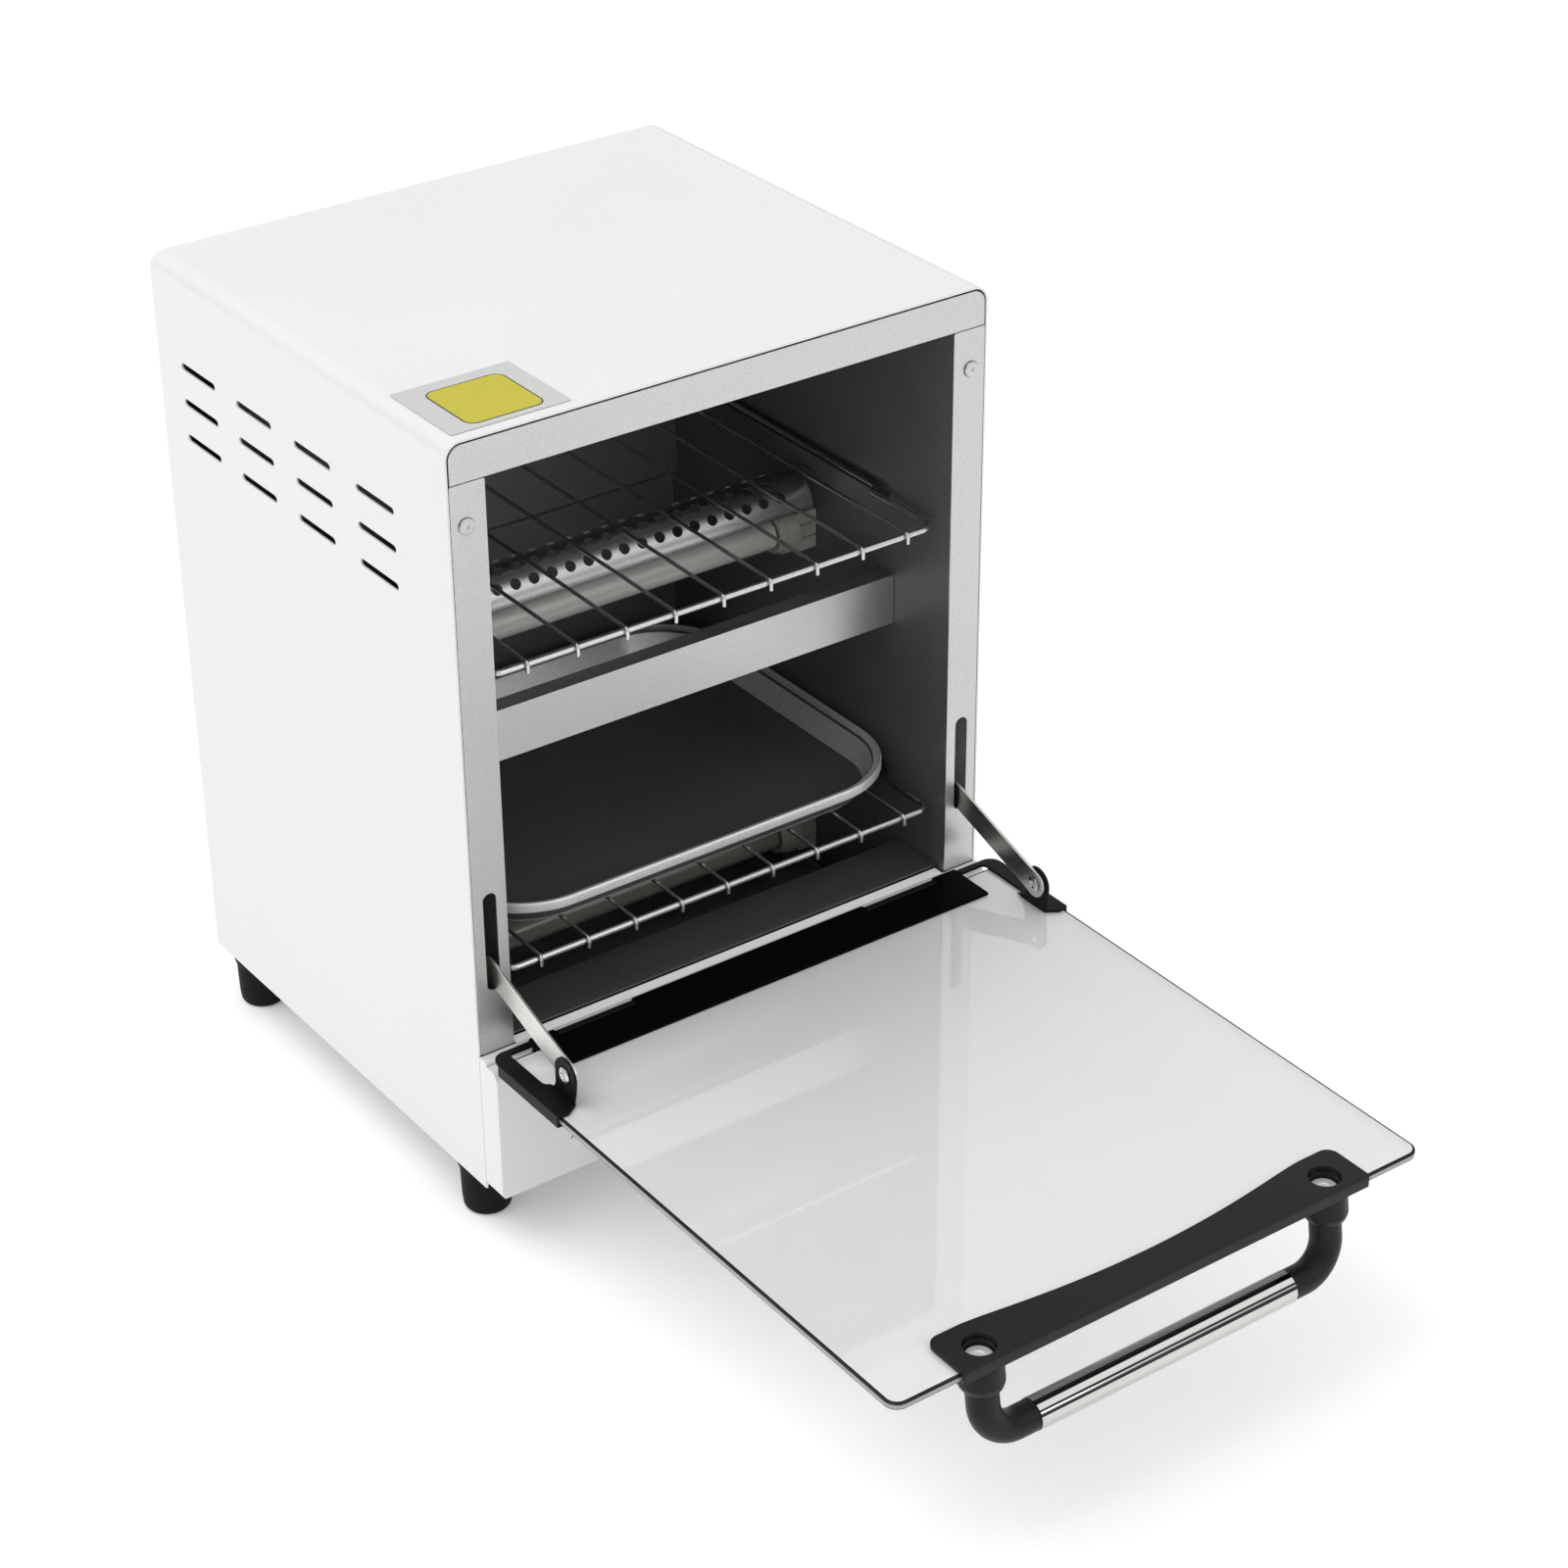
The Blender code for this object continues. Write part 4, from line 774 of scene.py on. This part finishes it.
def strip():
    low, high = cad("door_strip")
    y, z = [sum(pair) / 2 for pair in zip(*cad("hinge_rod"))][1:]
    curl = 0.0030
    top, base = z + curl, z - curl
    pane = cad("door_glass")
    web, under, over = pane[1].y + 0.0015, pane[0].z - GAP, pane[1].z + GAP
    shape = [(low.y, top - 0.0003), (low.y + 0.0003, top), (y, top)]
    shape += arc((y, z), curl, 80, -80, 24) + [(y, base), (low.y, base), (low.y, under)]
    shape += [(web - 0.0012, under), (web - 0.0012, over), (low.y, over)]
    mesh = plate([shape, circle((y, z), 0.0019, 24)], "YZ", low.x, high.x)
    tools = []
    for sign in (-1, 1):
        x0, x1 = span(sign, 0.0552, 0.0920)
        tools.append(block((x0, web + 0.0001, base - 0.003), (x1, y + 0.006, top + 0.003)))
    put("hinge_strip", shaped(mesh, *tools, bevel=0.00012), ["black_strip"], "door", ["door_strip"])


def brackets():
    for side, sign in SIDES:
        low, high = cad(f"door_bracket_{side}")
        over = cad("door_glass")[1].z + GAP
        under = cad("door_glass")[0].z - GAP
        rivet = cad(f"stay_rivet_{side}")
        pin = ((rivet[0].y + rivet[1].y) / 2, (rivet[0].z + rivet[1].z) / 2)
        edge = max(abs(low.x), abs(high.x)) - 0.0009
        outline = [(0.1026, -0.0103)]
        outline += arc((edge + 0.0006 - 0.0055, -0.0158), 0.0055, 90, 0, 10)
        outline += arc((edge - 0.0004, -0.0572), 0.0010, 0, -80, 4)
        outline += [(0.1170, -0.0584), (0.1118, -0.0550), (0.1118, -0.0400)]
        outline += arc((0.1110, -0.0356), 0.0035, -60, 0, 8)
        outline += arc((0.1130, -0.0148), 0.0015, 0, 90, 6) + [(0.1026, -0.0133)]
        base = plate([[(sign * x, y) for x, y in outline]], "XY", over, over + 0.0012, 0.0002)
        x0, x1 = span(sign, edge, edge + 0.0009)
        cheek = block((x0, -0.0575, under - 0.0006), (x1, -0.0165, over + 0.0010), 0.0002, 2)
        x0, x1 = span(sign, 0.1140, edge + 0.0007)
        hook = block((x0, -0.0573, under - 0.0010), (x1, -0.0380, under), 0.0002, 2)
        ear = arc((-0.0375, over + 0.0060), 0.0055, -91, -176, 12)
        ear += arc(pin, 0.0070, 15, 190, 24)
        ear += [(-0.0562, 0.0972), (-0.0548, over + 0.0004)]
        x0, x1 = span(sign, 0.1118, 0.1128)
        flange = plate([ear, circle(pin, PIN_R, 20)], "YZ", x0, x1, 0.00015)
        put(f"bracket_{side}_plate", gather(base, cheek, hook, flange), ["black_coat"], "door",
            [f"door_bracket_{side}"])
        stay(side, pin)
        studs(side, sign, pin)


def stay(side, pin):
    """A strap with a round nose at its rivet and a stepped hook behind the slot."""
    half = 0.00525
    shape = arc((0, 0), half + 0.0004, 80, 280, 20)
    shape += [(0.0060, -half), (0.0515, -half)] + arc((0.0515, -half - 0.0007), 0.0007, 90, 0, 3)
    shape += [(0.0522, -half - 0.0040)] + arc((0.0528, -half - 0.0040), 0.0006, 180, 270, 3)
    shape += arc((0.0590, -half - 0.0036), 0.0010, 270, 360, 4)
    shape += arc((0.0570, half - 0.0030), 0.0030, 0, 90, 6) + [(0.0060, half)]
    turn = Matrix.Rotation(math.radians(STAY_LIE), 2)
    points = [turn @ Vector(point) for point in shape]
    loop = [(pin[0] + point.x, pin[1] + point.y) for point in points]
    low, high = cad(f"door_stay_{side}")
    mesh = plate([loop, circle(pin, PIN_R, 20)], "YZ", low.x, high.x, 0.00018)
    put(f"stay_{side}_strap", mesh, ["stay_steel"], f"stay_{side}", [f"door_stay_{side}"])


def studs(side, sign, pin):
    """The rivet: a domed and dimpled head outside, and a flat one inside."""
    outer, inner = 0.1131, 0.1100
    head = [(0, 0.0003), (0.0010, 0.0003), (0.0013, 0.0007), (0.0024, 0.0007), (0.0033, 0.0002),
            (0.0033, 0.0), (0, 0.0)]
    along, back = ("X", "-X") if sign > 0 else ("-X", "X")
    parts = [turned(soft_corner(head, 0.0002, 3), (sign * outer, *pin), along, 32),
             turned(soft_corner(head, 0.0002, 3), (sign * inner, *pin), back, 32),
             rod(pin, "X", *span(sign, inner, outer), 0.0014, 20)]
    put(f"rivet_{side}", gather(*parts), ["bright_wire"], "door", [f"stay_rivet_{side}"])


# ---- handle ---------------------------------------------------------------
def handle():
    """A waisted plate on the glass, and a tube below it between two arms."""
    low, high = cad("handle_plate")
    over = cad("door_glass")[1].z + GAP
    reach = high.x - 0.0002
    screws = [cad(f"handle_screw_{side}") for side, _ in SIDES]
    centres = [((a.x + b.x) / 2, (a.y + b.y) / 2) for a, b in screws]
    front, waist, swell, corner = low.y + 0.0001, -0.2462, 0.0066, 0.0050
    half = arc((reach - 0.0010, front + 0.0010), 0.0010, -90, 0, 5)
    half += arc((reach - corner, waist + swell - corner), corner, 0, 90, 12)
    steps = 27
    for i in range(steps, 0, -1):
        t = i / steps
        half.append((0.0780 * t, waist + swell * t * t * (1.16 - 0.16 * t ** 8)))
    outline = half + [(0.0, waist)] + [(-x, y) for x, y in reversed(half)]
    top = plate([outline] + [circle(c, 0.0060, 40) for c in centres], "XY", over, high.z, 0.0004)
    lip = block((low.x + 0.0006, low.y, low.z), (high.x - 0.0006, low.y + 0.0020, high.z - 0.0005),
                0.0005, 3)
    put("handle_cover", gather(top, lip), ["black_plastic"], "door", ["handle_plate"])
    tube = cad("handle_tube")
    axis = ((tube[0].y + tube[1].y) / 2, (tube[0].z + tube[1].z) / 2)
    grip = plate([circle(axis, GRIP_R, 72), circle(axis, GRIP_R - 0.0005, 72)], "YZ",
                 tube[0].x, tube[1].x, 0.00012)
    put("handle_grip", grip, ["polished"], "door", ["handle_tube"])
    for (side, sign), centre in zip(SIDES, centres, strict=True):
        post(side, sign, centre, axis)


def post(side, sign, centre, axis):
    """A collar, a leaning post and an elbow whose spigot is inside the tube."""
    under = cad("door_glass")[0].z - GAP
    inside = cad("door_glass")[1].z
    reach, bend, mouth = abs(centre[0]), 0.0130, 0.0593
    slope = (axis[0] - centre[1]) / (axis[1] - under)

    def lean(z):
        return centre[1] + slope * min(0.0, z - under)

    path = [(reach, under - 0.0020), (reach, axis[1] + bend + 0.0080)]
    path += arc((reach - bend, axis[1] + bend), bend, 0, -90, 20) + [(mouth, axis[1])]
    arm = wire([(sign * x, lean(z), z) for x, z in path], POST_R, resolution=10)
    x0, x1 = span(sign, mouth - 0.0080, mouth + 0.0020)
    spigot = rod(axis, "X", x0, x1, 0.0055, 40)
    collar = [(0.0055, inside), (0.0060, inside), (0.0060, under), (0.0087, under),
              (0.0087, under - 0.0082), (0.0078, under - 0.0104), (0.0062, under - 0.0116),
              (0.0026, under - 0.0116), (0.0026, under - 0.0005), (0.0055, under - 0.0005)]
    cup = turned(soft_corner(collar, 0.0006, 4), (0, 0, 0), "Z", 56, closed=True)
    for vertex in cup.vertices:
        vertex.co.y += lean(vertex.co.z)
        vertex.co.x += centre[0]
    put(f"handle_arm_{side}", gather(arm, spigot, cup), ["black_plastic"], "door",
        [f"handle_post_{side}"])
    base = cad(f"handle_screw_{side}")[1].z - 0.0012
    head = [(0, 0.0010), (0.0016, 0.0010), (0.0020, 0.0012), (0.0048, 0.0012), (0.0052, 0.0008),
            (0.0052, 0.0), (0.0022, 0.0), (0.0022, 0.0755 - base), (0, 0.0755 - base)]
    put(f"handle_bolt_{side}", turned(soft_corner(head, 0.0002, 3), (*centre, base), "Z", 48),
        ["zinc"], "door", [f"handle_screw_{side}"])


# ---- studio ---------------------------------------------------------------
def area(name, spot, target, size, power):
    data = bpy.data.lights.new(name, "AREA")
    data.shape = "RECTANGLE"
    data.size, data.size_y = size
    data.energy = power
    lamp = bpy.data.objects.new(name, data)
    lamp.location = spot
    lamp.rotation_euler = (Vector(target) - Vector(spot)).to_track_quat("-Z", "Y").to_euler()
    bpy.context.scene.collection.objects.link(lamp)


def studio():
    """A white floor under a graded sky, with one large light above and one in front."""
    mesh = bpy.data.meshes.new("floor")
    work = bmesh.new()
    bmesh.ops.create_grid(work, x_segments=1, y_segments=1, size=6.0)
    work.to_mesh(mesh)
    work.free()
    look("floor", (0.97, 0.97, 0.97), 0.65, grain=40, spread=0.004, cloud=0.004, bump=0.0,
         Emission_Color=(1.0, 1.0, 1.0, 1.0), Emission_Strength=0.16)
    mesh.materials.append(LOOKS["floor"])
    floor = bpy.data.objects.new("floor", mesh)
    bpy.context.scene.collection.objects.link(floor)
    world = bpy.data.worlds.new("studio")
    world.use_nodes = True
    tree = world.node_tree
    way = wired(tree, "ShaderNodeTexCoord").outputs["Generated"]
    rise = wired(tree, "ShaderNodeSeparateXYZ", Vector=way).outputs["Z"]
    sky = ramp(tree, rise, ((0.0, (0.30,) * 3), (0.12, (0.45,) * 3), (0.40, (0.85,) * 3),
                            (0.8, (1.0,) * 3)))
    tree.links.new(sky, tree.nodes["Background"].inputs["Color"])
    tree.nodes["Background"].inputs["Strength"].default_value = 0.86
    bpy.context.scene.world = world
    area("key", (-1.8, 0.9, 3.8), (0, 0, 0.15), (3.4, 3.4), 78)
    area("fill", (0.8, -2.8, 1.5), (0, 0, 0.18), (1.6, 1.6), 13)
    bpy.context.scene.view_settings.view_transform = "Standard"


def camera():
    data = bpy.data.cameras.new("camera")
    data.sensor_width = 36.0
    data.lens = 83.166
    seen = bpy.data.objects.new("camera", data)
    seen.location = (-0.68795, -0.98629 + FRONT, 0.87159)
    seen.rotation_euler = [math.radians(a) for a in (59.502, 0.312, -35.989)]
    bpy.context.scene.collection.objects.link(seen)
    bpy.context.scene.camera = seen


# ---- assembly -------------------------------------------------------------
def kept_nodes():
    """Plain or hidden nodes keep their CAD mesh."""
    for node, finish, bevel in (
            ("back_panel", "galvanised", 0.0), ("base_pan", "galvanised", 0.0),
            ("cavity_back", "liner", 0.0), ("cavity_ceiling", "liner", 0.0),
            ("cavity_floor", "sill", 0.0002), ("crossbar", "galvanised", 0.0004),
            ("crumb_tray", "galvanised", 0.0), ("hinge_rod", "bright_wire", 0.0),
            ("hinge_lug_left", "black_coat", 0.0002), ("hinge_lug_right", "black_coat", 0.0002),
            ("timer_shaft", "bright_wire", 0.0), ("heat_shaft", "bright_wire", 0.0),
            ("timer_unit", "galvanised", 0.0), ("heat_switch", "unit", 0.0),
            ("terminal_block", "ceramic", 0.0), ("cord_gland", "black_plastic", 0.0)):
        keep(node, finish, bevel)


def main():
    make_looks()
    camera()
    studio()
    casing()
    label()
    header()
    pillars()
    feet()
    walls()
    for name in ("upper_rack", "lower_rack"):
        low, _ = cad(name)
        rack(name, low.y + WIRE_TIP, low.z + RACK_DROP)
    tray()
    heaters()
    guard()
    panel()
    knobs()
    glass()
    strip()
    brackets()
    handle()
    kept_nodes()


main()
